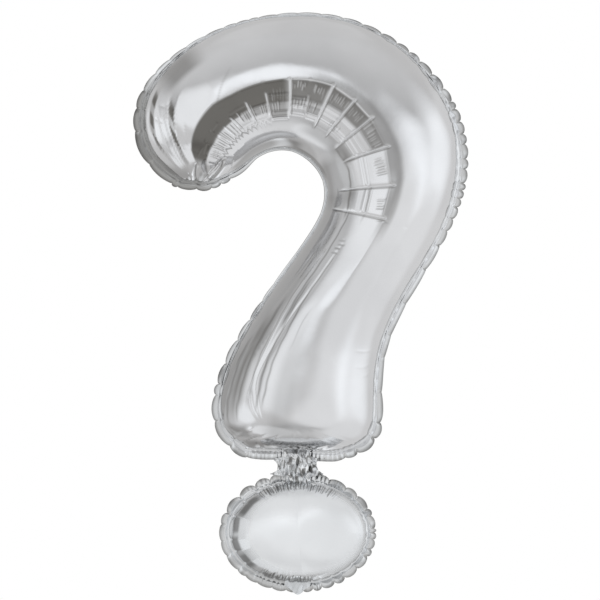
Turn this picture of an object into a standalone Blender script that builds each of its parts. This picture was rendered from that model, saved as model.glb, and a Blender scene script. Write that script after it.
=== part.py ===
"""Foil question mark balloon: an inflated hook and an inflated dot on a crumpled foil neck.

X runs to the right, Z up, and the front panels face -Y. The origin is the centre of lift
of the gas, on the seam plane.
"""
import math

import bmesh
import bpy
from mathutils import Vector

# Foil and seam band
WALL = 0.002
BAND_THICKNESS = 0.002
SEAT_GAP = 0.0003
BAND_INSIDE = 0.006
SEAT = BAND_THICKNESS / 2 + SEAT_GAP
LOBE_PITCH = 0.024
POINTS_PER_LOBE = 3

# Hook, one row for each rung across the tube from the curled tip to the base
# outer_x, outer_z, inner_x, inner_z, half_depth, outer_band, inner_band, outer_lobe, inner_lobe
HOOK_RUNGS = (
    (-0.198, 0.106, -0.158, 0.102, 0.050, 0.012, 0.011, 0.002, 0.002),
    (-0.243, 0.153, -0.116, 0.121, 0.070, 0.015, 0.009, 0.002, 0.002),
    (-0.248, 0.226, -0.092, 0.139, 0.082, 0.012, 0.005, 0.002, 0.000),
    (-0.192, 0.296, -0.075, 0.149, 0.086, 0.008, 0.004, 0.001, 0.000),
    (-0.097, 0.341, -0.055, 0.155, 0.088, 0.007, 0.004, 0.001, 0.000),
    (0.024, 0.347, -0.031, 0.153, 0.088, 0.008, 0.004, 0.001, 0.000),
    (0.130, 0.299, -0.007, 0.140, 0.088, 0.012, 0.004, 0.003, 0.000),
    (0.199, 0.208, 0.012, 0.117, 0.088, 0.014, 0.004, 0.003, 0.000),
    (0.211, 0.105, 0.019, 0.086, 0.088, 0.014, 0.004, 0.003, 0.000),
    (0.174, 0.010, 0.006, 0.043, 0.086, 0.012, 0.004, 0.002, 0.000),
    (0.122, -0.080, -0.037, -0.020, 0.084, 0.011, 0.004, 0.001, 0.000),
    (0.094, -0.155, -0.087, -0.093, 0.085, 0.011, 0.006, 0.001, 0.002),
    (0.089, -0.223, -0.127, -0.170, 0.086, 0.013, 0.010, 0.002, 0.003),
    (0.078, -0.271, -0.136, -0.246, 0.080, 0.016, 0.014, 0.004, 0.003),
    (0.031, -0.294, -0.100, -0.289, 0.060, 0.014, 0.015, 0.001, 0.002),
)
HOOK_STEPS_PER_RUNG = 3
HOOK_END_STEPS = (0.04, 0.16, 0.36, 0.64)
HOOK_COLUMNS = 10
TIP_ROUNDING = 0.080
BASE_ROUNDING = 0.070

# Neck, the crumpled foil sheets between the hook and the dot
NECK_X = -0.025
NECK_HALF_WIDTH = 0.040
NECK_HALF_HEIGHT = 0.012
NECK_BELOW_HOOK_SEAM = 0.0115
NECK_ABOVE_DOT_SEAM = 0.010
PASSAGE_HALF_WIDTH = 0.023
PASSAGE_DEPTH = 0.009
NECK_SHEET = 0.0015
NECK_COLUMNS = 16
CRUMPLE_WAVES = 3.5
CRUMPLE_DEPTH = 0.0015
END_PINCH = 0.3
END_SMOOTHING = 0.5
HOOK_BASE_Z = (HOOK_RUNGS[-1][1] + HOOK_RUNGS[-1][3]) / 2
NECK_Z = HOOK_BASE_Z - NECK_BELOW_HOOK_SEAM - NECK_HALF_HEIGHT

# Dot, hung from the lower end of the neck
DOT_X = -0.024
DOT_HALF_WIDTH = 0.102
DOT_HALF_HEIGHT = 0.075
DOT_HALF_DEPTH = 0.051
DOT_BAND = 0.014
DOT_LOBE = 0.003
DOT_SEGMENTS = 36
DOT_RINGS = 6
DOT_Z = NECK_Z - NECK_HALF_HEIGHT - NECK_ABOVE_DOT_SEAM - DOT_HALF_HEIGHT

# Tail of the filling valve, below the dot
TAIL_HALF_WIDTH = 0.019
TAIL_TOP_CLEARANCE = 0.003
TAIL_SIDE = 0.008
TAIL_POINT = 0.006
TAIL_POINT_SHARE = 1 / 3
TAIL_THICKNESS = 0.0012


def clear_scene():
    """Remove what the start-up file brings."""
    for item in list(bpy.data.objects):
        bpy.data.objects.remove(item)


def foil(name, colour, metallic, roughness):
    """Make a material with one Principled BSDF."""
    material = bpy.data.materials.new(name)
    material.use_nodes = True
    shader = material.node_tree.nodes["Principled BSDF"]
    shader.inputs["Base Color"].default_value = (*colour, 1.0)
    shader.inputs["Metallic"].default_value = metallic
    shader.inputs["Roughness"].default_value = roughness
    material.diffuse_color = (*colour, 1.0)
    return material


def add_piece(name, points, faces, material, origin=(0.0, 0.0, 0.0)):
    """Make one closed mesh object whose origin is at the given place."""
    base = Vector(origin)
    mesh = bpy.data.meshes.new(name)
    mesh.from_pydata([Vector(point) - base for point in points], [], faces)
    work = bmesh.new()
    work.from_mesh(mesh)
    bmesh.ops.recalc_face_normals(work, faces=work.faces)
    work.to_mesh(mesh)
    work.free()
    mesh.materials.append(material)
    piece = bpy.data.objects.new(name, mesh)
    piece.location = base
    bpy.context.scene.collection.objects.link(piece)
    return piece


def rung_at(position):
    """Columns of the rung table at a fractional row number, on a smooth curve."""
    row = min(int(position), len(HOOK_RUNGS) - 2)
    part = position - row
    here = HOOK_RUNGS[row]
    after = HOOK_RUNGS[row + 1]
    before = HOOK_RUNGS[row - 1] if row > 0 else [2 * a - b for a, b in zip(here, after)]
    if row + 2 < len(HOOK_RUNGS):
        beyond = HOOK_RUNGS[row + 2]
    else:
        beyond = [2 * b - a for a, b in zip(here, after)]
    values = []
    for p, q, r, s in zip(before, here, after, beyond):
        values.append(0.5 * (2 * q + (r - p) * part + (2 * p - 5 * q + 4 * r - s) * part ** 2
                             + (3 * q - p - 3 * r + s) * part ** 3))
    return values


def spine_lengths(steps):
    """Running length of the tube's centre line at evenly spaced positions."""
    last = len(HOOK_RUNGS) - 1
    lengths = [0.0]
    previous = None
    for index in range(steps + 1):
        rung = rung_at(last * index / steps)
        centre = Vector(((rung[0] + rung[2]) / 2, (rung[1] + rung[3]) / 2))
        if previous is not None:
            lengths.append(lengths[-1] + (centre - previous).length)
        previous = centre
    return lengths


SPINE_STEPS = 560
SPINE = spine_lengths(SPINE_STEPS)


def length_at(position):
    """Length of the centre line from the tip to a position."""
    place = position / (len(HOOK_RUNGS) - 1) * SPINE_STEPS
    index = min(int(place), SPINE_STEPS - 1)
    return SPINE[index] + (SPINE[index + 1] - SPINE[index]) * (place - index)


def position_at(length):
    """Position on the rung table for a length of the centre line."""
    for index in range(SPINE_STEPS):
        if SPINE[index + 1] >= length:
            share = (length - SPINE[index]) / (SPINE[index + 1] - SPINE[index])
            return (index + share) / SPINE_STEPS * (len(HOOK_RUNGS) - 1)
    return float(len(HOOK_RUNGS) - 1)


def hook_positions():
    """Row positions of the hook's grid, closer together at both ends."""
    last = len(HOOK_RUNGS) - 1
    middle = [1 + index / HOOK_STEPS_PER_RUNG
              for index in range((last - 2) * HOOK_STEPS_PER_RUNG + 1)]
    start = [0.0, *HOOK_END_STEPS]
    end = [last - step for step in reversed(start)]
    return start + middle + end


def rounding(distance, reach):
    """Share of the full depth at a distance from the end of the tube."""
    if distance >= reach:
        return 1.0
    return math.sqrt(max(0.0, 1 - (1 - distance / reach) ** 2))


def hook_grid(inset, side):
    """Points of one hook panel, rows along the tube and columns across it."""
    total = SPINE[-1]
    rows = []
    for position in hook_positions():
        length = inset + length_at(position) * (total - 2 * inset) / total
        rung = rung_at(position_at(length))
        outer = Vector((rung[0], 0.0, rung[1]))
        inner = Vector((rung[2], 0.0, rung[3]))
        centre = (outer + inner) / 2
        half = (inner - outer) / 2
        half *= (half.length - inset) / half.length
        depth = rung[4] - inset
        depth *= rounding(length - inset, TIP_ROUNDING - inset)
        depth *= rounding(total - inset - length, BASE_ROUNDING - inset)
        row = []
        for column in range(HOOK_COLUMNS + 1):
            angle = math.pi * column / HOOK_COLUMNS
            point = centre - half * math.cos(angle)
            point.y = side * (SEAT + depth * math.sin(angle))
            row.append(point)
        rows.append(row)
    return rows


def rim_of(rows, columns):
    """Point numbers round the edge of a grid."""
    width = columns + 1
    loop = list(range(columns))
    loop += [row * width + columns for row in range(rows - 1)]
    loop += [(rows - 1) * width + column for column in range(columns, 0, -1)]
    loop += [row * width for row in range(rows - 1, 0, -1)]
    return loop


def add_grid_shell(name, outside, inside, material):
    """Close two grids of the same layout into one shell."""
    rows = len(outside)
    columns = len(outside[0]) - 1
    points = [point for grid in (outside, inside) for row in grid for point in row]
    shift = rows * (columns + 1)
    faces = []
    for row in range(rows - 1):
        for column in range(columns):
            first = row * (columns + 1) + column
            quad = (first, first + 1, first + columns + 2, first + columns + 1)
            faces.append(quad)
            faces.append(tuple(shift + corner for corner in reversed(quad)))
    loop = rim_of(rows, columns)
    for here, after in zip(loop, loop[1:] + loop[:1]):
        faces.append((here, after, after + shift, here + shift))
    return add_piece(name, points, faces, material)


def hook_seam_line():
    """Seam outline of the hook as x, z, band width and lobe depth."""
    last = len(HOOK_RUNGS) - 1
    fine = 12
    outer = []
    inner = []
    for index in range(last * fine + 1):
        rung = rung_at(index / fine)
        outer.append((rung[0], rung[1], rung[5], max(rung[7], 0.0)))
        inner.append((rung[2], rung[3], rung[6], max(rung[8], 0.0)))
    return outer + list(reversed(inner))


def dot_seam_line():
    """Seam outline of the dot as x, z, band width and lobe depth."""
    count = 180
    line = []
    for index in range(count):
        angle = 2 * math.pi * index / count
        line.append((DOT_X + DOT_HALF_WIDTH * math.cos(angle),
                     DOT_Z + DOT_HALF_HEIGHT * math.sin(angle), DOT_BAND, DOT_LOBE))
    return line


def even_points(line, pitch):
    """Points at even spacing round a closed line, a whole number of lobes."""
    closed = list(line) + [line[0]]
    lengths = [0.0]
    for here, after in zip(closed, closed[1:]):
        lengths.append(lengths[-1] + math.hypot(after[0] - here[0], after[1] - here[1]))
    count = round(lengths[-1] / pitch) * POINTS_PER_LOBE
    result = []
    index = 0
    for number in range(count):
        target = lengths[-1] * number / count
        while lengths[index + 1] < target:
            index += 1
        share = (target - lengths[index]) / (lengths[index + 1] - lengths[index])
        result.append([a + (b - a) * share for a, b in zip(closed[index], closed[index + 1])])
    return result


def add_band(name, line, material, origin=(0.0, 0.0, 0.0)):
    """Make the flat sealed band along a seam line, with lobes on its free edge."""
    places = even_points(line, LOBE_PITCH)
    count = len(places)
    area = 0.0
    for here, after in zip(places, places[1:] + places[:1]):
        area += here[0] * after[1] - after[0] * here[1]
    turn = 1.0 if area > 0 else -1.0
    free_edge = []
    hidden_edge = []
    for number, (x, z, width, lobe) in enumerate(places):
        before = places[number - 1]
        after = places[(number + 1) % count]
        along = Vector((after[0] - before[0], after[1] - before[1])).normalized()
        out = Vector((along.y, -along.x)) * turn
        reach = width - (lobe if number % POINTS_PER_LOBE == 0 else 0.0)
        free_edge.append((x + out.x * reach, z + out.y * reach))
        hidden_edge.append((x - out.x * BAND_INSIDE, z - out.y * BAND_INSIDE))
    half = BAND_THICKNESS / 2
    points = []
    for edge in (free_edge, hidden_edge):
        for level in (-half, half):
            points += [(x, level, z) for x, z in edge]
    faces = []
    for number in range(count):
        after = (number + 1) % count
        for low, high in ((0, 1), (1, 3), (3, 2), (2, 0)):
            faces.append((low * count + number, low * count + after,
                          high * count + after, high * count + number))
    return add_piece(name, points, faces, material, origin)


def add_dot_panel(name, side, material, origin):
    """Make one domed foil panel of the dot."""
    points = []
    for inset in (0.0, WALL):
        points.append((DOT_X, side * (SEAT + DOT_HALF_DEPTH - inset), DOT_Z))
        for ring in range(1, DOT_RINGS + 1):
            slope = math.pi / 2 * ring / DOT_RINGS
            level = side * (SEAT + (DOT_HALF_DEPTH - inset) * math.cos(slope))
            for number in range(DOT_SEGMENTS):
                angle = 2 * math.pi * number / DOT_SEGMENTS
                x = DOT_X + (DOT_HALF_WIDTH - inset) * math.sin(slope) * math.cos(angle)
                z = DOT_Z + (DOT_HALF_HEIGHT - inset) * math.sin(slope) * math.sin(angle)
                points.append((x, level, z))
    shift = 1 + DOT_RINGS * DOT_SEGMENTS
    faces = []
    for number in range(DOT_SEGMENTS):
        after = (number + 1) % DOT_SEGMENTS
        for base in (0, shift):
            faces.append((base, base + 1 + number, base + 1 + after))
            for ring in range(DOT_RINGS - 1):
                low = base + 1 + ring * DOT_SEGMENTS
                high = low + DOT_SEGMENTS
                faces.append((low + number, high + number, high + after, low + after))
        edge = 1 + (DOT_RINGS - 1) * DOT_SEGMENTS
        faces.append((edge + number, edge + shift + number,
                      edge + shift + after, edge + after))
    return add_piece(name, points, faces, material, origin)


def add_neck_sheet(name, side, material, origin):
    """Make one crumpled foil sheet of the neck, bowed out over the gas passage."""
    points = []
    for level in (0.0, NECK_SHEET):
        for row in (-1.0, 0.0, 1.0):
            for column in range(NECK_COLUMNS + 1):
                across = 2 * column / NECK_COLUMNS - 1
                x = across * NECK_HALF_WIDTH
                bow = max(0.0, 1 - (x / PASSAGE_HALF_WIDTH) ** 2)
                crumple = CRUMPLE_DEPTH * (1 - END_SMOOTHING * abs(row))
                crumple *= 0.5 + 0.5 * math.cos(2 * math.pi * CRUMPLE_WAVES * across)
                bulge = PASSAGE_DEPTH * bow * (1 - END_PINCH * abs(row))
                depth = SEAT + level + bulge + crumple
                points.append((NECK_X + x, side * depth, NECK_Z + row * NECK_HALF_HEIGHT))
    width = NECK_COLUMNS + 1
    shift = 3 * width
    faces = []
    for row in range(2):
        for column in range(NECK_COLUMNS):
            first = row * width + column
            quad = (first, first + 1, first + width + 1, first + width)
            faces.append(quad)
            faces.append(tuple(shift + corner for corner in reversed(quad)))
    loop = rim_of(3, NECK_COLUMNS)
    for here, after in zip(loop, loop[1:] + loop[:1]):
        faces.append((here, after, after + shift, here + shift))
    return add_piece(name, points, faces, material, origin)


def add_tail(name, material, origin):
    """Make the flat tail of the filling valve, in front of the dot's band."""
    top = DOT_Z - DOT_HALF_HEIGHT - TAIL_TOP_CLEARANCE
    shoulder = top - TAIL_SIDE
    tip = shoulder - TAIL_POINT
    point = TAIL_HALF_WIDTH * TAIL_POINT_SHARE
    outline = (
        (DOT_X - TAIL_HALF_WIDTH, top),
        (DOT_X - TAIL_HALF_WIDTH, shoulder),
        (DOT_X - point, tip),
        (DOT_X + point, tip),
        (DOT_X + TAIL_HALF_WIDTH, shoulder),
        (DOT_X + TAIL_HALF_WIDTH, top),
    )
    count = len(outline)
    points = [(x, -SEAT, z) for x, z in outline]
    points += [(x, -SEAT - TAIL_THICKNESS, z) for x, z in outline]
    faces = [tuple(range(count)), tuple(range(2 * count - 1, count - 1, -1))]
    for number in range(count):
        after = (number + 1) % count
        faces.append((number, after, after + count, number + count))
    return add_piece(name, points, faces, material, origin)


def build():
    """Make every piece of the balloon."""
    clear_scene()
    panel_foil = foil("silver_foil", (0.80, 0.80, 0.81), 1.0, 0.14)
    band_foil = foil("sealed_foil_band", (0.72, 0.73, 0.74), 1.0, 0.25)
    neck_foil = foil("crumpled_neck_foil", (0.74, 0.75, 0.76), 1.0, 0.22)
    valve_film = foil("valve_film", (0.78, 0.80, 0.82), 0.2, 0.35)
    hinge = (NECK_X, 0.0, NECK_Z)
    for side, word in ((-1.0, "front"), (1.0, "back")):
        add_grid_shell(f"hook_{word}_panel", hook_grid(0.0, side), hook_grid(WALL, side),
                       panel_foil)
        add_dot_panel(f"dot_{word}_panel", side, panel_foil, hinge)
        add_neck_sheet(f"neck_{word}_sheet", side, neck_foil, hinge)
    add_band("hook_seam_band", hook_seam_line(), band_foil)
    add_band("dot_seam_band", dot_seam_line(), band_foil, hinge)
    add_tail("fill_valve_tail", valve_film, hinge)


build()
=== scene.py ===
"""Looks of a silver foil question mark balloon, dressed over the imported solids.

X runs to the right, Z up, and the front foils face -Y. All sizes are in metres.
"""

import logging
import math
from dataclasses import dataclass, field
from enum import Enum

import bpy
import numpy as np
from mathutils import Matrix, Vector

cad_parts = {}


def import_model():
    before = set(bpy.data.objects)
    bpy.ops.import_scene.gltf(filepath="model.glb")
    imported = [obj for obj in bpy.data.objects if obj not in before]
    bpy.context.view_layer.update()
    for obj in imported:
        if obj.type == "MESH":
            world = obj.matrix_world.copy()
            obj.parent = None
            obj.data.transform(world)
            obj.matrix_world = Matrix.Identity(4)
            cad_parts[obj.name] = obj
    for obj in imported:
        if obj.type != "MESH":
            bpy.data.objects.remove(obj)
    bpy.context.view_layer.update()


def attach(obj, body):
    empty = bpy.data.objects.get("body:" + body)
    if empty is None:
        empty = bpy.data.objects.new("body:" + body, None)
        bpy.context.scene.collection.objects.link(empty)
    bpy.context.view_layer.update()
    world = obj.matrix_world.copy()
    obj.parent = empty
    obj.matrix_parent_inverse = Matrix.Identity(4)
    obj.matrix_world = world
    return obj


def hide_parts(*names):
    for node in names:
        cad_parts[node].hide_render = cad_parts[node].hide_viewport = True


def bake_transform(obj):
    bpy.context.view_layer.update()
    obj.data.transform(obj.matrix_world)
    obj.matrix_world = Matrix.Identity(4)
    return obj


LOG = logging.getLogger("balloon")
SEED = 71
# half the gap between the two foils where they meet at a seam, and the least that folds leave of it
SEAM_GAP = 0.0005
LEAST_GAP = 0.0004
# sockets of Blender's mix node: its share, then the inputs and the result for numbers and colours
MIX_SHARE = 0
MIX_NUMBERS = (2, 3)
MIX_NUMBER = 0
MIX_COLOURS = (6, 7)
MIX_COLOUR = 2


class Side(Enum):
    """Which foil of the balloon a sheet is; the value is the sign of its Y."""

    FRONT = -1.0
    BACK = 1.0


class Rail(Enum):
    """Which seam of the tube a pucker starts from."""

    OUTER = "outer"
    INNER = "inner"
    BASE = "base"
    TIP = "tip"


# one row for each rung across the tube, from the curled tip to the base:
# outer_x, outer_z, inner_x, inner_z, half_depth, outer_band, inner_band, outer_lobe, inner_lobe
HOOK_RUNGS = np.array((
    (-0.198, 0.106, -0.158, 0.102, 0.050, 0.012, 0.011, 0.002, 0.002),
    (-0.243, 0.153, -0.116, 0.121, 0.070, 0.015, 0.009, 0.002, 0.002),
    (-0.248, 0.226, -0.092, 0.139, 0.082, 0.012, 0.005, 0.002, 0.000),
    (-0.192, 0.296, -0.075, 0.149, 0.086, 0.006, 0.004, 0.001, 0.000),
    (-0.097, 0.341, -0.055, 0.155, 0.088, 0.004, 0.004, 0.001, 0.000),
    (0.024, 0.347, -0.031, 0.153, 0.088, 0.005, 0.004, 0.001, 0.000),
    (0.130, 0.299, -0.007, 0.140, 0.088, 0.008, 0.004, 0.003, 0.000),
    (0.199, 0.208, 0.012, 0.117, 0.088, 0.014, 0.004, 0.003, 0.000),
    (0.211, 0.105, 0.019, 0.086, 0.088, 0.014, 0.004, 0.003, 0.000),
    (0.174, 0.010, 0.006, 0.043, 0.086, 0.012, 0.004, 0.002, 0.000),
    (0.122, -0.080, -0.037, -0.020, 0.084, 0.011, 0.004, 0.001, 0.000),
    (0.094, -0.155, -0.087, -0.093, 0.085, 0.011, 0.006, 0.001, 0.002),
    (0.089, -0.223, -0.127, -0.170, 0.086, 0.013, 0.010, 0.002, 0.003),
    (0.078, -0.271, -0.136, -0.246, 0.080, 0.016, 0.014, 0.004, 0.003),
    (0.031, -0.294, -0.100, -0.289, 0.060, 0.014, 0.015, 0.001, 0.002),
))


def spline(rows: np.ndarray, places: np.ndarray) -> np.ndarray:
    """Smooth curve with continuous curvature through the rows of a table.

    Args:
        rows: one row per knot.
        places: row numbers, whole or not, at which the curve is read.

    Returns:
        One row of values for each place.
    """
    count = len(rows)
    system = np.eye(count)
    target = np.zeros_like(rows, dtype=float)
    for knot in range(1, count - 1):
        system[knot, knot - 1:knot + 2] = (1.0, 4.0, 1.0)
        target[knot] = 6.0 * (rows[knot - 1] - 2.0 * rows[knot] + rows[knot + 1])
    bend = np.linalg.solve(system, target)
    low = np.clip(places.astype(int), 0, count - 2)
    part = (places - low)[:, None]
    rest = 1.0 - part
    return (rest * rows[low] + part * rows[low + 1]
            + ((rest ** 3 - rest) * bend[low] + (part ** 3 - part) * bend[low + 1]) / 6.0)


def smoothstep(low: float | np.ndarray, high: float | np.ndarray,
               value: float | np.ndarray) -> np.ndarray:
    """Ease from 0 at low to 1 at high."""
    share = np.clip((value - low) / (high - low), 0.0, 1.0)
    return share * share * (3.0 - 2.0 * share)


def plateau(start: float, full: float, fading: float, stop: float,
            value: float | np.ndarray) -> np.ndarray:
    """Ease from 0 at start to 1 at full, and from 1 at fading back to 0 at stop."""
    return smoothstep(start, full, value) * (1.0 - smoothstep(fading, stop, value))


def stripe(distance: np.ndarray, width: float | np.ndarray) -> np.ndarray:
    """Soft stripe, 1 on its line and fading out to both sides."""
    return np.exp(-(distance / width) ** 2)


def blur(values: np.ndarray, sigma: float, closed: bool = False) -> np.ndarray:
    """Gaussian blur along the first axis.

    Args:
        values: samples, one row each.
        sigma: width of the blur in samples.
        closed: whether the last row meets the first.

    Returns:
        The blurred samples, in the same shape.
    """
    reach = int(4 * sigma) + 1
    kernel = np.exp(-0.5 * (np.arange(-reach, reach + 1) / sigma) ** 2)
    kernel /= kernel.sum()
    pad = [(reach, reach)] + [(0, 0)] * (values.ndim - 1)
    wide = np.pad(values, pad, mode="wrap" if closed else "edge")
    return sum(weight * wide[start:start + len(values)]
               for start, weight in enumerate(kernel))


def running_length(points: np.ndarray, axis: int) -> np.ndarray:
    """Length along one axis of a grid of points.

    Args:
        points: points, the last axis is their coordinates.
        axis: the axis of the grid that is followed.

    Returns:
        Lengths from 0 at the first row or column, one for each point.
    """
    steps = np.linalg.norm(np.diff(points, axis=axis), axis=-1)
    start = np.zeros_like(np.take(steps, [0], axis=axis))
    return np.concatenate((start, np.cumsum(steps, axis=axis)), axis=axis)


def chords(line: np.ndarray, places: np.ndarray,
           knots: np.ndarray) -> tuple[np.ndarray, np.ndarray]:
    """Pull a line of points straight between its knots, as taut film lies between its folds.

    Args:
        line: the points.
        places: increasing place of each point.
        knots: increasing places at which the line is held.

    Returns:
        The point on the chords for each point of the line, and the number of its chord.
    """
    ends = np.stack([np.interp(knots, places, line[:, axis]) for axis in range(3)], axis=-1)
    number = np.interp(places, knots, np.arange(len(knots)))
    low = np.clip(number.astype(int), 0, len(knots) - 2)
    part = (number - low)[:, None]
    return ends[low] * (1.0 - part) + ends[low + 1] * part, low


def grid_normals(points: np.ndarray, side: Side) -> np.ndarray:
    """Unit normals of a grid of points, facing out of the balloon.

    Args:
        points: array of rows, columns and three coordinates.
        side: which foil the grid is.

    Returns:
        One unit vector for each point.
    """
    along = np.gradient(points, axis=0)
    across = np.gradient(points, axis=1)
    normal = np.cross(along, across)
    normal /= np.maximum(np.linalg.norm(normal, axis=-1, keepdims=True), 1e-12)
    middle = normal[len(points) // 2, points.shape[1] // 2, 1]
    return normal * (side.value * np.sign(middle))


def waves(coords: np.ndarray, pitch: float, seed: int, count: int = 24) -> np.ndarray:
    """Soft random undulation made from a few sine waves.

    Args:
        coords: points, the last axis is their coordinates.
        pitch: typical wavelength.
        seed: number that fixes the pattern.
        count: how many waves are added up.

    Returns:
        Heights with a spread of about 1.
    """
    rng = np.random.default_rng(seed)
    total = np.zeros(coords.shape[:-1])
    for _ in range(count):
        direction = rng.normal(size=coords.shape[-1])
        direction *= rng.uniform(0.6, 1.6) / np.linalg.norm(direction)
        phase = rng.uniform(0.0, 2.0 * math.pi)
        total += np.sin(coords @ direction * 2.0 * math.pi / pitch + phase)
    return total / math.sqrt(count / 2.0)


@dataclass(frozen=True)
class Pucker:
    """One fold that starts at a seam and fades into the foil."""

    place: float
    depth: float
    width: float
    reach: float


def scatter_puckers(length: float, pitch: float, depth: float, width: float,
                    reach: float, seed: int) -> list[Pucker]:
    """Spread puckers along a seam with uneven spacing and strength.

    Args:
        length: length of the seam.
        pitch: mean distance between puckers.
        depth: mean depth of a fold.
        width: mean half width of a fold.
        reach: mean length of a fold into the foil.
        seed: number that fixes the pattern.

    Returns:
        The puckers in order along the seam.
    """
    rng = np.random.default_rng(seed)
    found = []
    place = pitch * 0.4
    while place < length:
        found.append(Pucker(place, depth * rng.uniform(0.45, 1.5), width * rng.uniform(0.7, 1.4),
                            reach * rng.uniform(0.5, 1.6)))
        place += pitch * rng.uniform(0.65, 1.4)
    return found


def fold_profile(distance: np.ndarray, width: float) -> np.ndarray:
    """Sharp valley, 1 on the fold line and fading out to both sides."""
    return np.exp(-(np.sqrt(distance * distance + (0.25 * width) ** 2) - 0.25 * width) / width)


def pucker_depth(edge: np.ndarray, inward: np.ndarray, puckers: list[Pucker]) -> np.ndarray:
    """Depth of all puckers at each point of a grid.

    Args:
        edge: place along the seam, broadcast against the grid.
        inward: distance from the seam, for each point of the grid.
        puckers: the folds.

    Returns:
        Depths, to be taken off along the normal.
    """
    total = np.zeros(inward.shape)
    for pucker in puckers:
        near = np.abs(edge - pucker.place) < 6.0 * pucker.width
        if not near.any():
            continue
        shape = fold_profile(edge - pucker.place, pucker.width)
        fade = 1.0 - smoothstep(0.0, pucker.reach, inward)
        total += pucker.depth * shape * fade
    return total


@dataclass(frozen=True)
class Crease:
    """Line in the foil, in mm: its path, its depth, its half width and how much of it fades."""

    path: tuple[tuple[float, float], ...]
    depth: float
    width: float
    fade: float

    def add_to(self, total: np.ndarray, flat: np.ndarray, shift: np.ndarray) -> None:
        """Add this line's depth to a grid.

        Args:
            total: depth at each grid point, changed in place.
            flat: x and z of each grid point.
            shift: small move of the whole line.
        """
        knots = np.array(self.path, dtype=float) * 0.001 + shift
        line = spline(knots, np.linspace(0.0, len(knots) - 1.0, 10 * len(knots)))
        width = self.width * 0.001
        low, high = line.min(axis=0) - 7.0 * width, line.max(axis=0) + 7.0 * width
        near = np.all((flat > low) & (flat < high), axis=-1)
        spots = flat[near]
        if not len(spots):
            return
        length = running_length(line, 0)
        best = np.full(len(spots), np.inf)
        share = np.zeros(len(spots))
        for start, end, first, last in zip(line, line[1:], length, length[1:]):
            step = end - start
            part = np.clip(((spots - start) @ step) / max(step @ step, 1e-12), 0.0, 1.0)
            distance = np.linalg.norm(spots - start - part[:, None] * step, axis=1)
            closer = distance < best
            best[closer] = distance[closer]
            share[closer] = ((first + (last - first) * part) / length[-1])[closer]
        window = plateau(-0.02, self.fade, 1.0 - self.fade, 1.02, share)
        total[near] += 0.001 * self.depth * fold_profile(best, width) * window


def make_sheet(name: str, points: np.ndarray, closed: bool = False, flip: bool = False,
               marks: dict[str, np.ndarray] | None = None) -> bpy.types.Object:
    """Turn a grid of points into a smooth-shaded mesh object with its lengths as UVs.

    Args:
        name: name of the piece.
        points: array of rows, columns and three coordinates.
        closed: whether the last row meets the first.
        flip: whether the faces turn the other way.
        marks: values from 0 to 1 for each point, by the name a finish reads them under.

    Returns:
        The new object, linked to the scene.
    """
    rows, columns = points.shape[:2]
    numbers = np.arange(rows * columns).reshape(rows, columns)
    if closed:
        numbers = np.vstack((numbers, numbers[:1]))
    quads = np.stack((numbers[:-1, :-1], numbers[1:, :-1], numbers[1:, 1:], numbers[:-1, 1:]),
                     axis=-1).reshape(-1, 4)
    if flip:
        quads = quads[:, ::-1]
    mesh = bpy.data.meshes.new(name)
    mesh.vertices.add(rows * columns)
    mesh.vertices.foreach_set("co", points.reshape(-1).astype(np.float32))
    mesh.loops.add(quads.size)
    mesh.loops.foreach_set("vertex_index", quads.reshape(-1).astype(np.int32))
    mesh.polygons.add(len(quads))
    mesh.polygons.foreach_set("loop_start", np.arange(0, quads.size, 4, dtype=np.int32))
    mesh.polygons.foreach_set("loop_total", np.full(len(quads), 4, dtype=np.int32))
    mesh.update(calc_edges=True)
    mesh.polygons.foreach_set("use_smooth", np.ones(len(quads), dtype=bool))
    lengths = np.stack((running_length(points, 0), running_length(points, 1)), axis=-1)
    layer = mesh.uv_layers.new(name="lengths")
    layer.data.foreach_set("uv", lengths.reshape(-1, 2)[quads.reshape(-1)].reshape(-1)
                           .astype(np.float32))
    for word, values in (marks or {}).items():
        mark = mesh.attributes.new(word, "FLOAT", "POINT")
        mark.data.foreach_set("value", values.reshape(-1).astype(np.float32))
    mesh.validate()
    piece = bpy.data.objects.new(name, mesh)
    bpy.context.scene.collection.objects.link(piece)
    return piece


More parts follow.
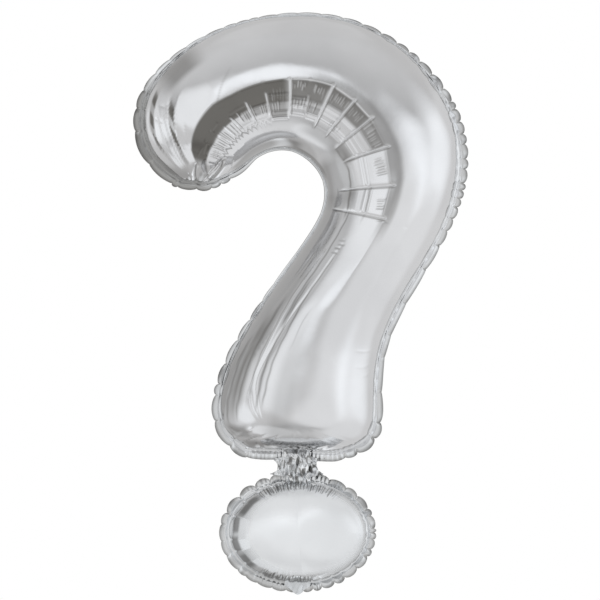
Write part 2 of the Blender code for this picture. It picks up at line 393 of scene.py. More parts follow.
@dataclass(frozen=True)
class FoilFinish:
    """Metallised film: bright, faintly uneven, with fine wrinkles.

    Its clouds run between tint and shade, and its scuffs between smooth and rough. Marks of its sheet
    paint shade into the colour: darker outlines on the bands, and painted reflections, shadows and glints
    on the foils. Each level of painted shade is what is left of the colour where its mark is 1, so 1
    leaves the film as it is.
    """

    name: str
    tint: tuple[float, float, float] = (0.925, 0.93, 0.945)
    shade: tuple[float, float, float] = (0.85, 0.855, 0.87)
    smooth: float = 0.09
    rough: float = 0.17
    wrinkle_scale: float = 55.0
    wrinkle_depth: float = 0.00012
    cloud_scale: float = 9.0
    cloud_span: tuple[float, float] = (0.35, 0.65)
    scuff_scale: float = 38.0
    scuff_span: tuple[float, float] = (0.3, 0.7)
    edge_start: float = 0.64
    painted_edge_shade: float = 1.0
    painted_shade_level: float = 1.0
    painted_shade_warmth: float = 0.05
    green_loss: float = 0.35
    haze_middle: tuple[float, float] = (0.0, 0.0)
    haze_reach: tuple[float, float] = (0.0, 0.0)
    haze_full: float = 0.76
    haze_metallic: float = 1.0
    haze_rough: float = 0.0

    def make(self) -> bpy.types.Material:
        """Build the node material.

        Returns:
            The material, ready to be put on a piece.
        """
        material = bpy.data.materials.new(self.name)
        material.use_nodes = True
        nodes = material.node_tree.nodes
        links = material.node_tree.links
        shader = nodes["Principled BSDF"]
        shader.inputs["Metallic"].default_value = 1.0
        place = nodes.new("ShaderNodeTexCoord").outputs["Object"]
        links.new(self.colour(material, place), shader.inputs["Base Color"])
        rough = self.roughness(material, place)
        if self.haze_rough:
            haze = self.haze(material, place)
            metal = nodes.new("ShaderNodeMapRange")
            metal.inputs["To Min"].default_value = 1.0
            metal.inputs["To Max"].default_value = self.haze_metallic
            links.new(haze, metal.inputs["Value"])
            links.new(metal.outputs["Result"], shader.inputs["Metallic"])
            milky = nodes.new("ShaderNodeMix")
            links.new(haze, milky.inputs[MIX_SHARE])
            links.new(rough, milky.inputs[MIX_NUMBERS[0]])
            milky.inputs[MIX_NUMBERS[1]].default_value = self.haze_rough
            rough = milky.outputs[MIX_NUMBER]
        links.new(rough, shader.inputs["Roughness"])
        bump = nodes.new("ShaderNodeBump")
        bump.inputs["Strength"].default_value = 1.0
        bump.inputs["Distance"].default_value = self.wrinkle_depth
        links.new(self.noise(material, place, self.wrinkle_scale, detail=4.0, grain=0.55),
                  bump.inputs["Height"])
        links.new(bump.outputs["Normal"], shader.inputs["Normal"])
        return material

    @staticmethod
    def noise(material: bpy.types.Material, place: bpy.types.NodeSocket, scale: float,
              detail: float, grain: float = 0.5) -> bpy.types.NodeSocket:
        """Uneven cloud over the piece.

        Args:
            material: the material being made.
            place: coordinates in the object.
            scale: how fine the cloud is.
            detail: how many finer layers are added to it.
            grain: how strong each finer layer is.

        Returns:
            Values from 0 to 1.
        """
        cloud = material.node_tree.nodes.new("ShaderNodeTexNoise")
        cloud.inputs["Scale"].default_value = scale
        cloud.inputs["Detail"].default_value = detail
        cloud.inputs["Roughness"].default_value = grain
        material.node_tree.links.new(place, cloud.inputs["Vector"])
        return cloud.outputs["Fac"]

    def colour(self, material: bpy.types.Material,
               place: bpy.types.NodeSocket) -> bpy.types.NodeSocket:
        """Colour of the film, with the painted shade that the marks of its sheet give.

        Args:
            material: the material being made.
            place: coordinates in the object.

        Returns:
            The colour.
        """
        ramp = material.node_tree.nodes.new("ShaderNodeValToRGB")
        low, high = ramp.color_ramp.elements
        low.position, high.position = self.cloud_span
        low.color, high.color = (*self.shade, 1.0), (*self.tint, 1.0)
        cloud = self.noise(material, place, self.cloud_scale, detail=3.0)
        material.node_tree.links.new(cloud, ramp.inputs["Fac"])
        film = ramp.outputs["Color"]
        # painted shade: darker outlines on the bands, and painted reflections, shadows and glints on the
        # foils
        if self.painted_edge_shade < 1.0:
            film = self.darkened(material, film, "edge", self.edge_start, self.painted_edge_shade)
        if self.painted_shade_level < 1.0:
            film = self.darkened(material, film, "painted_shade", 0.0, self.painted_shade_level)
        return film

    def roughness(self, material: bpy.types.Material,
                  place: bpy.types.NodeSocket) -> bpy.types.NodeSocket:
        """Roughness of the film, uneven as on handled foil.

        Args:
            material: the material being made.
            place: coordinates in the object.

        Returns:
            Values from smooth to rough.
        """
        span = material.node_tree.nodes.new("ShaderNodeMapRange")
        span.inputs["From Min"].default_value = self.scuff_span[0]
        span.inputs["From Max"].default_value = self.scuff_span[1]
        span.inputs["To Min"].default_value = self.smooth
        span.inputs["To Max"].default_value = self.rough
        scuff = self.noise(material, place, self.scuff_scale, detail=5.0)
        material.node_tree.links.new(scuff, span.inputs["Value"])
        return span.outputs["Result"]

    def darkened(self, material: bpy.types.Material, colour: bpy.types.NodeSocket, word: str,
                 start: float, shade: float) -> bpy.types.NodeSocket:
        """Paint shade into the film's colour where a mark of the sheet says so.

        Args:
            material: the material being made.
            colour: the colour of the film.
            word: name of the mark.
            start: value of the mark from which the film gets darker.
            shade: what is left of the colour where the mark is 1.

        Returns:
            The colour with its painted shade, in which a little more blue than red is lost.
        """
        nodes = material.node_tree.nodes
        links = material.node_tree.links
        near = nodes.new("ShaderNodeAttribute")
        near.attribute_name = word
        ramp = nodes.new("ShaderNodeValToRGB")
        ramp.color_ramp.elements[0].position = start
        ramp.color_ramp.elements[0].color = (1.0, 1.0, 1.0, 1.0)
        ramp.color_ramp.elements[1].color = (
            shade, (1.0 - self.green_loss * self.painted_shade_warmth) * shade,
            (1.0 - self.painted_shade_warmth) * shade, 1.0)
        links.new(near.outputs["Fac"], ramp.inputs["Fac"])
        blend = nodes.new("ShaderNodeMix")
        blend.data_type = "RGBA"
        blend.blend_type = "MULTIPLY"
        blend.inputs[MIX_SHARE].default_value = 1.0
        links.new(colour, blend.inputs[MIX_COLOURS[0]])
        links.new(ramp.outputs["Color"], blend.inputs[MIX_COLOURS[1]])
        return blend.outputs[MIX_COLOUR]

    def haze(self, material: bpy.types.Material,
             place: bpy.types.NodeSocket) -> bpy.types.NodeSocket:
        """Oval patch in which the film is milky instead of mirror-bright.

        Args:
            material: the material being made.
            place: coordinates in the object.

        Returns:
            1 in the patch, 0 outside it.
        """
        nodes = material.node_tree.nodes
        links = material.node_tree.links
        shift = nodes.new("ShaderNodeVectorMath")
        shift.operation = "SUBTRACT"
        shift.inputs[1].default_value = (self.haze_middle[0], 0.0, self.haze_middle[1])
        links.new(place, shift.inputs[0])
        scale = nodes.new("ShaderNodeVectorMath")
        scale.operation = "MULTIPLY"
        scale.inputs[1].default_value = (1.0 / self.haze_reach[0], 0.0, 1.0 / self.haze_reach[1])
        links.new(shift.outputs["Vector"], scale.inputs[0])
        radius = nodes.new("ShaderNodeVectorMath")
        radius.operation = "LENGTH"
        links.new(scale.outputs["Vector"], radius.inputs[0])
        fade = nodes.new("ShaderNodeMapRange")
        fade.interpolation_type = "SMOOTHSTEP"
        fade.inputs["From Min"].default_value = 1.0
        fade.inputs["From Max"].default_value = self.haze_full
        links.new(radius.outputs["Value"], fade.inputs["Value"])
        return fade.outputs["Result"]


@dataclass(frozen=True)
class PaperFinish:
    """Dull white paper with a faint cloud in it."""

    name: str = "pale paper"
    low: float = 0.80
    high: float = 0.86
    rough: float = 0.9
    cloud_scale: float = 3.0

    def make(self) -> bpy.types.Material:
        """Build the node material.

        Returns:
            The material, ready to be put on a piece.
        """
        material = bpy.data.materials.new(self.name)
        material.use_nodes = True
        nodes = material.node_tree.nodes
        shader = nodes["Principled BSDF"]
        shader.inputs["Roughness"].default_value = self.rough
        cloud = nodes.new("ShaderNodeTexNoise")
        cloud.inputs["Scale"].default_value = self.cloud_scale
        tone = nodes.new("ShaderNodeValToRGB")
        tone.color_ramp.elements[0].color = (self.low, self.low, self.low, 1.0)
        tone.color_ramp.elements[1].color = (self.high, self.high, self.high, 1.0)
        material.node_tree.links.new(cloud.outputs["Fac"], tone.inputs["Fac"])
        material.node_tree.links.new(tone.outputs["Color"], shader.inputs["Base Color"])
        return material


def dress(piece: bpy.types.Object, material: bpy.types.Material) -> None:
    """Give a piece its material.

    Args:
        piece: the piece.
        material: what it is made of.
    """
    piece.data.materials.clear()
    piece.data.materials.append(material)


# row, start, stop, strength, slant, for the folds that cross the inside of the curve
CURVE_FOLDS = np.array((
    (1.25, 0.36, 0.60, 0.45, 0.02),
    (1.70, 0.35, 0.60, 0.60, 0.02),
    (2.10, 0.34, 0.60, 0.70, 0.10),
    (2.45, 0.33, 0.60, 0.70, 0.10),
    (2.78, 0.29, 0.60, 0.90, 0.20),
    (3.47, 0.20, 0.60, 0.90, 0.00),
    (4.03, 0.16, 0.58, 0.90, 0.00),
    (4.57, -0.01, 0.56, 1.20, 0.12),
    (4.98, 0.20, 0.54, 0.50, 0.20),
    (5.43, -0.04, 0.66, 1.20, 0.05),
    (5.94, -0.02, 0.68, 1.10, 0.00),
    (6.43, -0.02, 0.70, 1.10, 0.00),
    (7.10, -0.01, 0.70, 1.20, -0.20),
    (7.95, -0.02, 0.84, 1.10, -0.06),
    (8.66, -0.03, 0.90, 1.10, -0.15),
))
# across, drift, width, depth, from_row, to_row, for the soft valleys that run along the tube
TUBE_STREAKS = (
    (-0.14, 0.03, 0.030, 0.0010, -0.4, 1.6),
    (0.60, -0.02, 0.030, 0.0012, -0.6, 1.9),
    (-0.62, 0.00, 0.040, 0.0010, 13.3, 14.6),
    (0.62, 0.00, 0.040, 0.0012, 13.2, 14.6),
)
# row, across, count, row_step, half_length, depth, for groups of short parallel wrinkles
WRINKLE_GROUPS = (
    (1.90, 0.47, 15, 0.110, 0.14, 0.00055),
    (3.30, 0.38, 7, 0.085, 0.11, 0.00055),
    (4.05, 0.40, 8, 0.080, 0.09, 0.00040),
    (4.30, 0.22, 5, 0.070, 0.10, 0.00025),
    (4.95, 0.34, 9, 0.090, 0.09, 0.00045),
    (5.45, 0.14, 5, 0.060, 0.10, 0.00022),
    (5.95, 0.44, 5, 0.070, 0.07, 0.00030),
    (7.50, 0.17, 6, 0.065, 0.09, 0.00065),
    (8.33, 0.14, 5, 0.055, 0.08, 0.00050),
    (9.35, 0.46, 4, 0.080, 0.08, 0.00030),
    (4.78, 0.08, 6, 0.055, 0.06, 0.00050),
    (5.20, 0.10, 5, 0.055, 0.07, 0.00050),
    (5.70, 0.10, 7, 0.055, 0.08, 0.00045),
    (6.18, 0.12, 6, 0.055, 0.08, 0.00040),
    (6.77, 0.12, 8, 0.060, 0.09, 0.00045),
)
# row and place across of the crest, where the domed outside of the tube breaks into its inside
CREST = np.array((
    (0.0, 0.16), (0.9, 0.11), (1.1, 0.04), (1.3, -0.02), (1.75, -0.04), (2.3, -0.04), (2.75, -0.05),
    (3.25, -0.012), (4.25, -0.015), (4.8, -0.035), (5.4, -0.05), (6.0, -0.02), (6.5, 0.0),
    (7.1, 0.02), (8.7, 0.0), (14.0, 0.0),
))
# a patch of painted shade that begins nearer to the middle of the tube than this follows the crest
CREST_PATCHES = 0.05
# row, places across of the long folds that meet at the curled tip
TIP_FACETS = np.array((
    (0.0, -0.98, -0.50, -0.30, -0.20, -0.10, -0.04, 0.16, 0.40, 0.62, 0.90),
    (0.5, -0.98, -0.72, -0.48, -0.39, -0.14, -0.05, 0.14, 0.38, 0.62, 0.92),
    (1.0, -0.98, -0.88, -0.71, -0.63, -0.23, -0.13, 0.08, 0.35, 0.61, 0.90),
    (1.5, -0.98, -0.91, -0.83, -0.75, -0.41, -0.32, -0.03, 0.33, 0.60, 0.78),
    (2.0, -0.98, -0.94, -0.88, -0.80, -0.56, -0.45, -0.04, 0.33, 0.60, 0.76),
    (2.6, -0.99, -0.95, -0.91, -0.85, -0.68, -0.58, -0.06, 0.33, 0.60, 0.76),
    (3.2, -0.99, -0.96, -0.92, -0.87, -0.76, -0.66, -0.05, 0.33, 0.60, 0.76),
))
# how far each of these folds stands out, in mm, and how strong the painted shade is between each two
TIP_FACET_HEIGHTS = np.array((0.0, 0.5, -2.0, 1.0, -2.0, 0.5, 0.0, 0.0, 0.5, 2.2))
TIP_FACET_PAINTED_SHADE = np.array((0.25, 0.00, 1.00, 0.00, 1.00, 0.00, 0.00, 0.00, 0.00))
# from_row, to_row, row_ease, across_from, across_to, across_ease, strength, for the patches of painted
# shade: dark reflections of the film's own folds and of nearby parts, painted into its colour
PAINTED_SHADE_PATCHES = (
    (0.95, 4.60, 0.20, 0.000, 0.320, 0.022, 1.00),
    (1.60, 3.20, 0.15, 0.285, 0.345, 0.018, 0.90),
    (4.62, 4.97, 0.06, 0.270, 0.360, 0.020, 0.55),
    (5.00, 5.42, 0.06, 0.260, 0.460, 0.030, 0.40),
    (-0.50, 0.55, 0.12, 0.260, 0.540, 0.050, 0.55),
    (3.20, 4.57, 0.15, 0.290, 0.450, 0.030, 0.60),
    (4.06, 4.55, 0.04, 0.430, 0.550, 0.020, 0.60),
    (4.60, 5.43, 0.10, 0.000, 0.280, 0.040, 0.85),
    (5.45, 5.96, 0.08, 0.015, 0.230, 0.030, 0.80),
    (5.96, 6.46, 0.04, 0.015, 0.260, 0.035, 0.82),
    (6.48, 7.08, 0.05, 0.015, 0.250, 0.035, 0.62),
    (6.47, 7.08, 0.05, 0.500, 0.650, 0.030, 0.40),
    (5.00, 8.90, 0.40, -0.140, 0.050, 0.040, 0.50),
    (5.20, 6.60, 0.40, 0.560, 0.740, 0.050, 0.40),
    (6.60, 8.40, 0.30, 0.560, 1.200, 0.050, 0.50),
    (8.20, 11.50, 0.40, 0.670, 1.200, 0.040, 0.40),
    (11.0, 12.60, 0.30, 0.720, 0.860, 0.030, 0.50),
    (11.5, 13.00, 0.40, 0.800, 1.200, 0.030, 0.50),
    (1.00, 5.30, 0.30, 0.880, 1.200, 0.030, 0.55),
    (2.40, 3.10, 0.22, -1.050, -0.680, 0.060, 0.60),
    (-0.50, 0.50, 0.25, -1.100, -0.100, 0.080, 0.30),
    (11.20, 13.10, 0.60, 0.060, 0.330, 0.080, 0.26),
    (12.95, 14.40, 0.25, -0.400, 0.420, 0.140, 0.30),
    (13.56, 13.84, 0.06, -0.420, 0.700, 0.180, 0.25),
    (13.10, 13.42, 0.10, 0.660, 0.950, 0.040, 0.50),
    (13.60, 14.40, 0.10, 0.380, 0.850, 0.060, 0.50),
    (5.20, 7.20, 0.30, 0.960, 1.200, 0.012, 0.60),
)
# from_row, to_row, across at each end, half_width, strength, for the painted dark lines along the tube
PAINTED_DARK_LINES = (
    (8.30, 11.20, 0.600, 0.560, 0.013, 0.55),
    (9.30, 12.70, 0.445, 0.455, 0.013, 0.60),
    (9.90, 12.80, 0.540, 0.530, 0.015, 0.55),
    (10.40, 13.10, 0.745, 0.775, 0.016, 0.60),
    (9.60, 12.60, 0.655, 0.640, 0.011, 0.50),
    (11.20, 13.20, 0.890, 0.900, 0.013, 0.55),
    (2.60, 3.60, 0.100, -0.420, 0.020, 0.30),
    (0.50, 2.10, -0.160, -0.680, 0.018, 0.35),
    (0.50, 1.95, -0.230, -0.760, 0.014, 0.25),
    (0.20, 1.60, 0.520, 0.605, 0.014, 0.80),
    (6.25, 7.30, 0.655, 0.655, 0.018, 0.60),
    (6.90, 8.15, 0.640, 0.640, 0.016, 0.75),
    (7.70, 8.90, 0.640, 0.640, 0.018, 0.75),
    (7.70, 8.90, 0.345, 0.335, 0.018, 0.55),
)
# lines seen in the foil, in mm: path in x and z, depth (below zero for a ridge), half width, fade
HOOK_CREASES = (
    Crease(((-230, 226), (-223, 180), (-212, 153), (-195, 127)), -0.9, 1.6, 0.30),
    Crease(((-214, 233), (-214, 193), (-205, 159), (-192, 128)), 1.2, 1.5, 0.30),
    Crease(((-202, 232), (-204, 174), (-199, 149), (-186, 134)), 1.0, 1.3, 0.30),
    Crease(((-192, 199), (-187, 170), (-180, 149)), 0.6, 1.4, 0.35),
    Crease(((-161, 158), (-170, 143), (-171, 130)), -0.5, 0.9, 0.30),
    Crease(((-155, 201), (-140, 211), (-125, 220)), -0.5, 1.0, 0.30),
    Crease(((-131, 140), (-139, 121), (-156, 102)), 2.6, 2.0, 0.15),
    Crease(((-160, 138), (-158, 119), (-154, 104)), 2.4, 1.8, 0.20),
    Crease(((-240, 220), (-242, 183), (-223, 152), (-198, 118)), 1.3, 1.3, 0.25),
    Crease(((-237, 180), (-230, 165), (-220, 152)), -0.8, 1.3, 0.30),
    Crease(((-172, 132), (-175, 115), (-172, 99)), 2.6, 1.6, 0.12),
    Crease(((-193, 121), (-183, 114), (-173, 112)), 0.9, 1.5, 0.30),
    Crease(((-227, 217), (-220, 214), (-211, 220)), 0.8, 2.2, 0.40),
    Crease(((-235, 199), (-227, 193), (-220, 190)), 0.7, 2.0, 0.40),
    Crease(((15, 25), (-32, -43), (-80, -105), (-100, -142), (-115, -178), (-124, -212), (-128, -243)),
           1.3, 2.4, 0.15),
    Crease(((31, 22), (-19, -50), (-50, -99), (-72, -142), (-87, -176), (-100, -212), (-105, -237)),
           -1.1, 2.0, 0.20),
    Crease(((44, 16), (-6, -56), (-38, -100), (-62, -139), (-80, -173), (-86, -202), (-80, -237),
            (-71, -252)),
           1.3, 1.7, 0.15),
    Crease(((-56, -102), (-63, -117), (-87, -150), (-103, -184)), 0.8, 0.9, 0.20),
    Crease(((6, -69), (-18, -100), (-32, -131), (-46, -155)), 0.7, 1.8, 0.30),
    Crease(((-94, -199), (-91, -227), (-78, -248)), 0.7, 1.1, 0.30),
    Crease(((-21, -40), (-47, -78), (-71, -114)), 0.7, 1.0, 0.30),
    Crease(((56, -143), (72, -145), (88, -143)), -0.3, 1.0, 0.40),
    Crease(((56, -167), (71, -168), (84, -162)), -0.3, 1.0, 0.40),
    Crease(((66, -183), (75, -180), (83, -177)), -0.3, 1.0, 0.40),
    Crease(((-8, -256), (24, -272), (63, -285)), 0.8, 1.0, 0.20),
    Crease(((-4, -262), (28, -279), (56, -290)), 0.9, 1.0, 0.20),
    Crease(((-24, -258), (-14, -272), (-5, -286)), -0.8, 0.8, 0.20),
    Crease(((-12, -268), (0, -284)), 0.6, 0.8, 0.25),
    Crease(((14, -262), (44, -272), (70, -284)), 0.6, 0.8, 0.25),
    Crease(((-46, -262), (-58, -272), (-74, -284)), 0.6, 0.9, 0.25),
    Crease(((-60, -262), (-82, -272), (-104, -284)), 0.8, 1.1, 0.25),
    Crease(((-30, -264), (-33, -284)), 0.5, 0.8, 0.25),
    Crease(((-122, -277), (-105, -264), (-86, -257)), -2.0, 1.6, 0.20),
    Crease(((-127, -252), (-115, -263), (-94, -261)), 2.2, 1.5, 0.25),
    Crease(((-112, -284), (-96, -274), (-78, -268)), 1.8, 1.4, 0.25),
    Crease(((-94, -126), (-112, -160), (-125, -200), (-131, -246), (-122, -270)), -1.3, 1.3, 0.12),
    Crease(((-87, -128), (-105, -162), (-117, -202), (-122, -242)), 1.5, 1.4, 0.15),
    Crease(((115, 40), (103, 46), (86, 47)), 0.5, 1.0, 0.30),
    Crease(((128, 40), (139, 35)), 0.3, 1.0, 0.40),
)
# places of the notches between the lobes of each band, x and z in mm
HOOK_NOTCHES = (
    (-173, 97), (-206, 108), (-240, 134), (-263, 180), (-266, 215), (-258, 243), (-240, 270),
    (-218, 291), (-192, 307), (-161, 320), (-134, 333), (-115, 341), (-97, 348), (-83, 354),
    (-55, 355), (-24, 354), (12, 353), (43, 347), (72, 338), (100, 324), (124, 311), (143, 299),
    (159, 286), (177, 266), (190, 243), (204, 224), (211, 214), (217, 195), (223, 176), (226, 161),
    (229, 139), (229, 124), (227, 102), (223, 91), (220, 78), (214, 66), (206, 49), (198, 31),
    (186, 10), (103, -205), (102, -251), (83, -270), (65, -296), (46, -301), (-50, -305),
    (-99, -307), (-130, -291), (-148, -248), (-146, -209), (-142, -193), (-125, -165), (-109, -130),
    (-93, -99), (-77, -71), (-59, -46), (-121, 105), (-134, 96), (-149, 90),
)
DOT_NOTCHES = (
    (27, -323), (4, -317), (-46, -316), (-69, -323), (-91, -336), (-114, -355), (-131, -382),
    (-136, -425), (-125, -444), (-111, -466), (-83, -485), (-62, -493), (-41, -497), (-1, -497),
    (12, -493), (31, -487), (44, -476), (66, -468), (77, -447), (86, -438), (90, -423), (91, -406),
    (88, -386), (87, -373), (68, -354), (56, -333),
)
# from_angle, to_angle, ease, from_radius, to_radius, ease, strength, for the painted shade of the dot
DOT_PAINTED_SHADE_PATCHES = (
    (128.0, 158.0, 6.0, 0.85, 0.95, 0.025, 0.85),
    (160.0, 180.0, 4.0, 0.89, 0.98, 0.020, 0.75),
    (184.0, 204.0, 4.0, 0.88, 0.98, 0.020, 0.75),
    (207.0, 226.0, 4.0, 0.87, 0.97, 0.020, 0.75),
    (236.0, 284.0, 5.0, 0.90, 1.10, 0.025, 0.80),
    (290.0, 330.0, 8.0, 0.96, 1.10, 0.020, 0.30),
)


def short_wrinkles() -> list[tuple[float, float, float, float]]:
    """Row, place across, reach and depth of every short wrinkle.

    Returns:
        One entry for each wrinkle of the groups.
    """
    rng = np.random.default_rng(SEED + 5)
    found = []
    for row, middle, count, step, half, depth in WRINKLE_GROUPS:
        for number in range(count):
            at = row + (number - 0.5 * (count - 1)) * step * rng.uniform(0.8, 1.2)
            shift = rng.uniform(-0.03, 0.03)
            reach = half * rng.uniform(0.7, 1.2)
            found.append((at, middle + shift, reach, depth * rng.uniform(0.5, 1.2)))
    return found


def zigzag_line(places: np.ndarray) -> np.ndarray:
    """Place across of the zigzag line near the curled tip.

    Args:
        places: table row of each grid row.

    Returns:
        The place across at each row.
    """
    uneven = 0.30 * np.sin(places * 5.3) + 0.20 * np.sin(places * 12.1)
    swing = np.abs((places / 0.105 + uneven) % 2.0 - 1.0) - 0.5
    return 0.605 + 0.070 * swing


@dataclass
class Hook:
    """The inflated hook: its two domed foils, their folds and the sealed band round them."""

    rows: int = 726
    columns: int = 136
    tip_rounding: float = 0.080
    base_rounding: float = 0.060
    tip_squareness: float = 2.2
    base_squareness: float = 3.2
    crest_slope: float = 0.34
    crest_line: float = 0.020
    crest_width: float = 0.016
    crest_height: float = 0.00050
    fold_depth: float = 0.0011
    fold_width: float = 0.0013
    step_depth: float = 0.0011
    wrinkle_width: float = 0.0009
    zigzag_depth: float = 0.0013
    zigzag_width: float = 0.012
    panel: FoilFinish = field(default_factory=lambda: FoilFinish(
        "silver foil", painted_shade_level=0.22, painted_shade_warmth=0.12))
    band: FoilFinish = field(default_factory=lambda: FoilFinish(
        "sealed foil", (0.92, 0.93, 0.94), (0.84, 0.85, 0.86), 0.10, 0.17,
        wrinkle_scale=120.0, wrinkle_depth=0.00010, painted_edge_shade=0.38, painted_shade_level=0.50))

    def row_places(self) -> np.ndarray:
        """Row numbers of the table for the rows of the grid, spaced along the tube's centre line.

        Returns:
            The places, closer together at both ends, round the curve and over its folds.
        """
        fine = np.linspace(0.0, len(HOOK_RUNGS) - 1.0, 4001)
        rungs = spline(HOOK_RUNGS, fine)
        centre = 0.5 * (rungs[:, 0:2] + rungs[:, 2:4])
        crowd = 1.0 + 0.5 * smoothstep(0.9, 1.6, fine) * (1.0 - smoothstep(9.3, 10.0, fine))
        for row in CURVE_FOLDS[:, 0]:
            crowd += 1.2 * np.exp(-((fine - row) / 0.05) ** 2)
        steps = np.diff(running_length(centre, 0)) * 0.5 * (crowd[1:] + crowd[:-1])
        length = np.concatenate(((0.0,), np.cumsum(steps)))
        even = np.linspace(0.0, 1.0, self.rows)
        eased = even - 0.10 * np.sin(2.0 * math.pi * even) / (2.0 * math.pi)
        return np.interp(eased * length[-1], length, fine)

    def column_angles(self) -> np.ndarray:
        """Angles of the columns round the half section, closer together over the folds.

        Returns:
            Angles from 0 at the outer seam to pi at the inner seam.
        """
        fine = np.linspace(0.0, math.pi, 2001)
        across = -np.cos(fine)
        crowd = 1.0 + 1.1 * smoothstep(-0.10, 0.0, across) * (1.0 - smoothstep(0.62, 0.72, across))
        total = np.concatenate(((0.0,), np.cumsum(0.5 * (crowd[1:] + crowd[:-1]))))
        return np.interp(np.linspace(0.0, total[-1], self.columns + 1), total, fine)

    def smooth_form(self, side: Side) -> tuple[np.ndarray, np.ndarray, np.ndarray]:
        """Shape of one foil before it gets folds.

        Args:
            side: which foil.

        Returns:
            The grid of points, the row places, and the place of each column from -1 to 1.
        """
        places = self.row_places()
        rungs = spline(HOOK_RUNGS, places)
        outer = rungs[:, 0:2]
        inner = rungs[:, 2:4]
        centre = 0.5 * (outer + inner)
        half = 0.5 * (inner - outer)
        length = running_length(centre, 0)
        depth = rungs[:, 4].copy()
        for distance, reach, power in ((length, self.tip_rounding, self.tip_squareness),
                                       (length[-1] - length, self.base_rounding,
                                        self.base_squareness)):
            share = np.clip(distance / reach, 0.0, 1.0)
            depth *= np.maximum(1.0 - (1.0 - share) ** power, 0.0) ** (1.0 / power)
        angle = self.column_angles()
        across = -np.cos(angle)
        round_part = np.sin(angle)
        slope = self.crest_slope * smoothstep(-0.2, 0.9, places) \
            * (1.0 - smoothstep(8.8, 10.6, places))
        past = across[None, :] - np.interp(places, CREST[:, 0], CREST[:, 1])[:, None]
        soft = np.sqrt(past * past + 0.016 ** 2)
        inside = 0.5 * (past + soft) * np.clip(1.0 - across, 0.0, 1.0)[None, :] ** 2
        profile = round_part[None, :] - slope[:, None] * inside
        points = np.empty((self.rows, self.columns + 1, 3))
        flat = centre[:, None, :] + half[:, None, :] * across[None, :, None]
        points[..., 0] = flat[..., 0]
        points[..., 2] = flat[..., 1]
        points[..., 1] = side.value * (SEAM_GAP + depth[:, None] * profile)
        return points, places, across

    def tip_facets(self, points: np.ndarray, places: np.ndarray,
                   across: np.ndarray) -> np.ndarray:
        """Pull the foil straight between the long folds that run together at the curled tip.

        Args:
            points: the smooth grid.
            places: table row of each grid row.
            across: place of each column.

        Returns:
            The grid with long narrow facets on the outer side of the tip.
        """
        result = points.copy()
        number = np.interp(places, TIP_FACETS[:, 0], np.arange(len(TIP_FACETS)))
        lines = spline(TIP_FACETS[:, 1:], number)
        heights = TIP_FACET_HEIGHTS * 0.001
        for row, place in enumerate(places):
            weight = float(1.0 - smoothstep(2.3, 3.0, place))
            if weight < 0.01:
                break
            knots = lines[row]
            ends = np.stack([np.interp(knots, across, points[row, :, axis])
                             for axis in range(3)], axis=-1)
            lift = heights * np.interp(place, (-0.5, 0.3, 0.9, 2.4), (0.0, 0.4, 1.0, 0.4))
            ends[:, 1] += lift * np.sign(ends[:, 1])
            inside = (across > knots[0]) & (across < knots[-1])
            chord = np.stack([np.interp(across, knots, ends[:, axis])
                              for axis in range(3)], axis=-1)
            result[row, inside] += weight * (chord - points[row])[inside]
        return result

    @staticmethod
    def fold_hold(place: float) -> np.ndarray:
        """How strongly each cross fold shows at one place across the tube.

        Args:
            place: place across, from -1 to 1.

        Returns:
            One strength for each row of CURVE_FOLDS.
        """
        start, stop, strength = CURVE_FOLDS[:, 1], CURVE_FOLDS[:, 2], CURVE_FOLDS[:, 3]
        return strength * smoothstep(0.0, 1.0, (place - start + 0.03) / 0.06) \
            * (1.0 - smoothstep(0.0, 1.0, (place - stop + 0.16) / 0.16))

    def flat_panels(self, points: np.ndarray, places: np.ndarray,
                    across: np.ndarray) -> np.ndarray:
        """Pull the foil straight between each two cross folds, as taut film lies.

        Args:
            points: the grid with the facets of the tip.
            places: table row of each grid row.
            across: place of each column.

        Returns:
            The grid with flat panels on the inside of the curve.
        """
        result = points.copy()
        for column, place in enumerate(across):
            held = self.fold_hold(place) / CURVE_FOLDS[:, 3]
            if held.max() < 0.01:
                continue
            rows = CURVE_FOLDS[:, 0] + CURVE_FOLDS[:, 4] * place
            chord, low = chords(points[:, column], places, rows)
            inside = (places >= rows[0]) & (places <= rows[-1])
            weight = (inside * np.minimum(held[low], held[low + 1]))[:, None]
            result[:, column] = points[:, column] * (1.0 - weight) + chord * weight
        return result

    def curve_folds(self, points: np.ndarray, places: np.ndarray,
                    across: np.ndarray) -> np.ndarray:
        """Depth of the cross folds and of the steps that run across each panel.

        Args:
            points: the grid with its flat panels.
            places: table row of each grid row.
            across: place of each column.

        Returns:
            Depth at each point.
        """
        lengths = running_length(points, 0)
        total = np.zeros(points.shape[:2])
        rng = np.random.default_rng(SEED + 4)
        count = len(CURVE_FOLDS) - 1
        spots = rng.uniform(0.20, 0.58, (count, 6))
        heights = rng.uniform(-1.0, 1.0, (count, 6)) * self.step_depth
        widths = rng.uniform(0.010, 0.026, (count, 6))
        edge = np.interp(places, CREST[:, 0], CREST[:, 1])
        for column, place in enumerate(across):
            here = lengths[:, column]
            rows = CURVE_FOLDS[:, 0] + CURVE_FOLDS[:, 4] * place
            line = np.interp(rows, places, here)
            held = self.fold_hold(place)
            number = np.interp(places, rows, np.arange(len(rows)))
            low = np.clip(number.astype(int), 0, count - 1)
            part = np.clip(number - low, 0.0, 1.0)
            inside = (places >= rows[0]) & (places <= rows[-1])
            calm = np.clip(np.minimum(part, 1.0 - part) * 9.0, 0.0, 1.0) * inside
            steps = np.sum(heights * stripe(place - spots, widths), axis=1)
            crest = -self.crest_height * stripe(place - edge - self.crest_line, self.crest_width)
            total[:, column] += (steps[low] + crest * (number > 4.0)) * calm
            for fold in range(len(rows)):
                if held[fold] < 0.01:
                    continue
                distance = here - line[fold]
                valley = fold_profile(distance, self.fold_width)
                lip = stripe(distance - 1.9 * self.fold_width, self.fold_width)
                total[:, column] += self.fold_depth * held[fold] * (valley - 0.30 * lip)
        return total

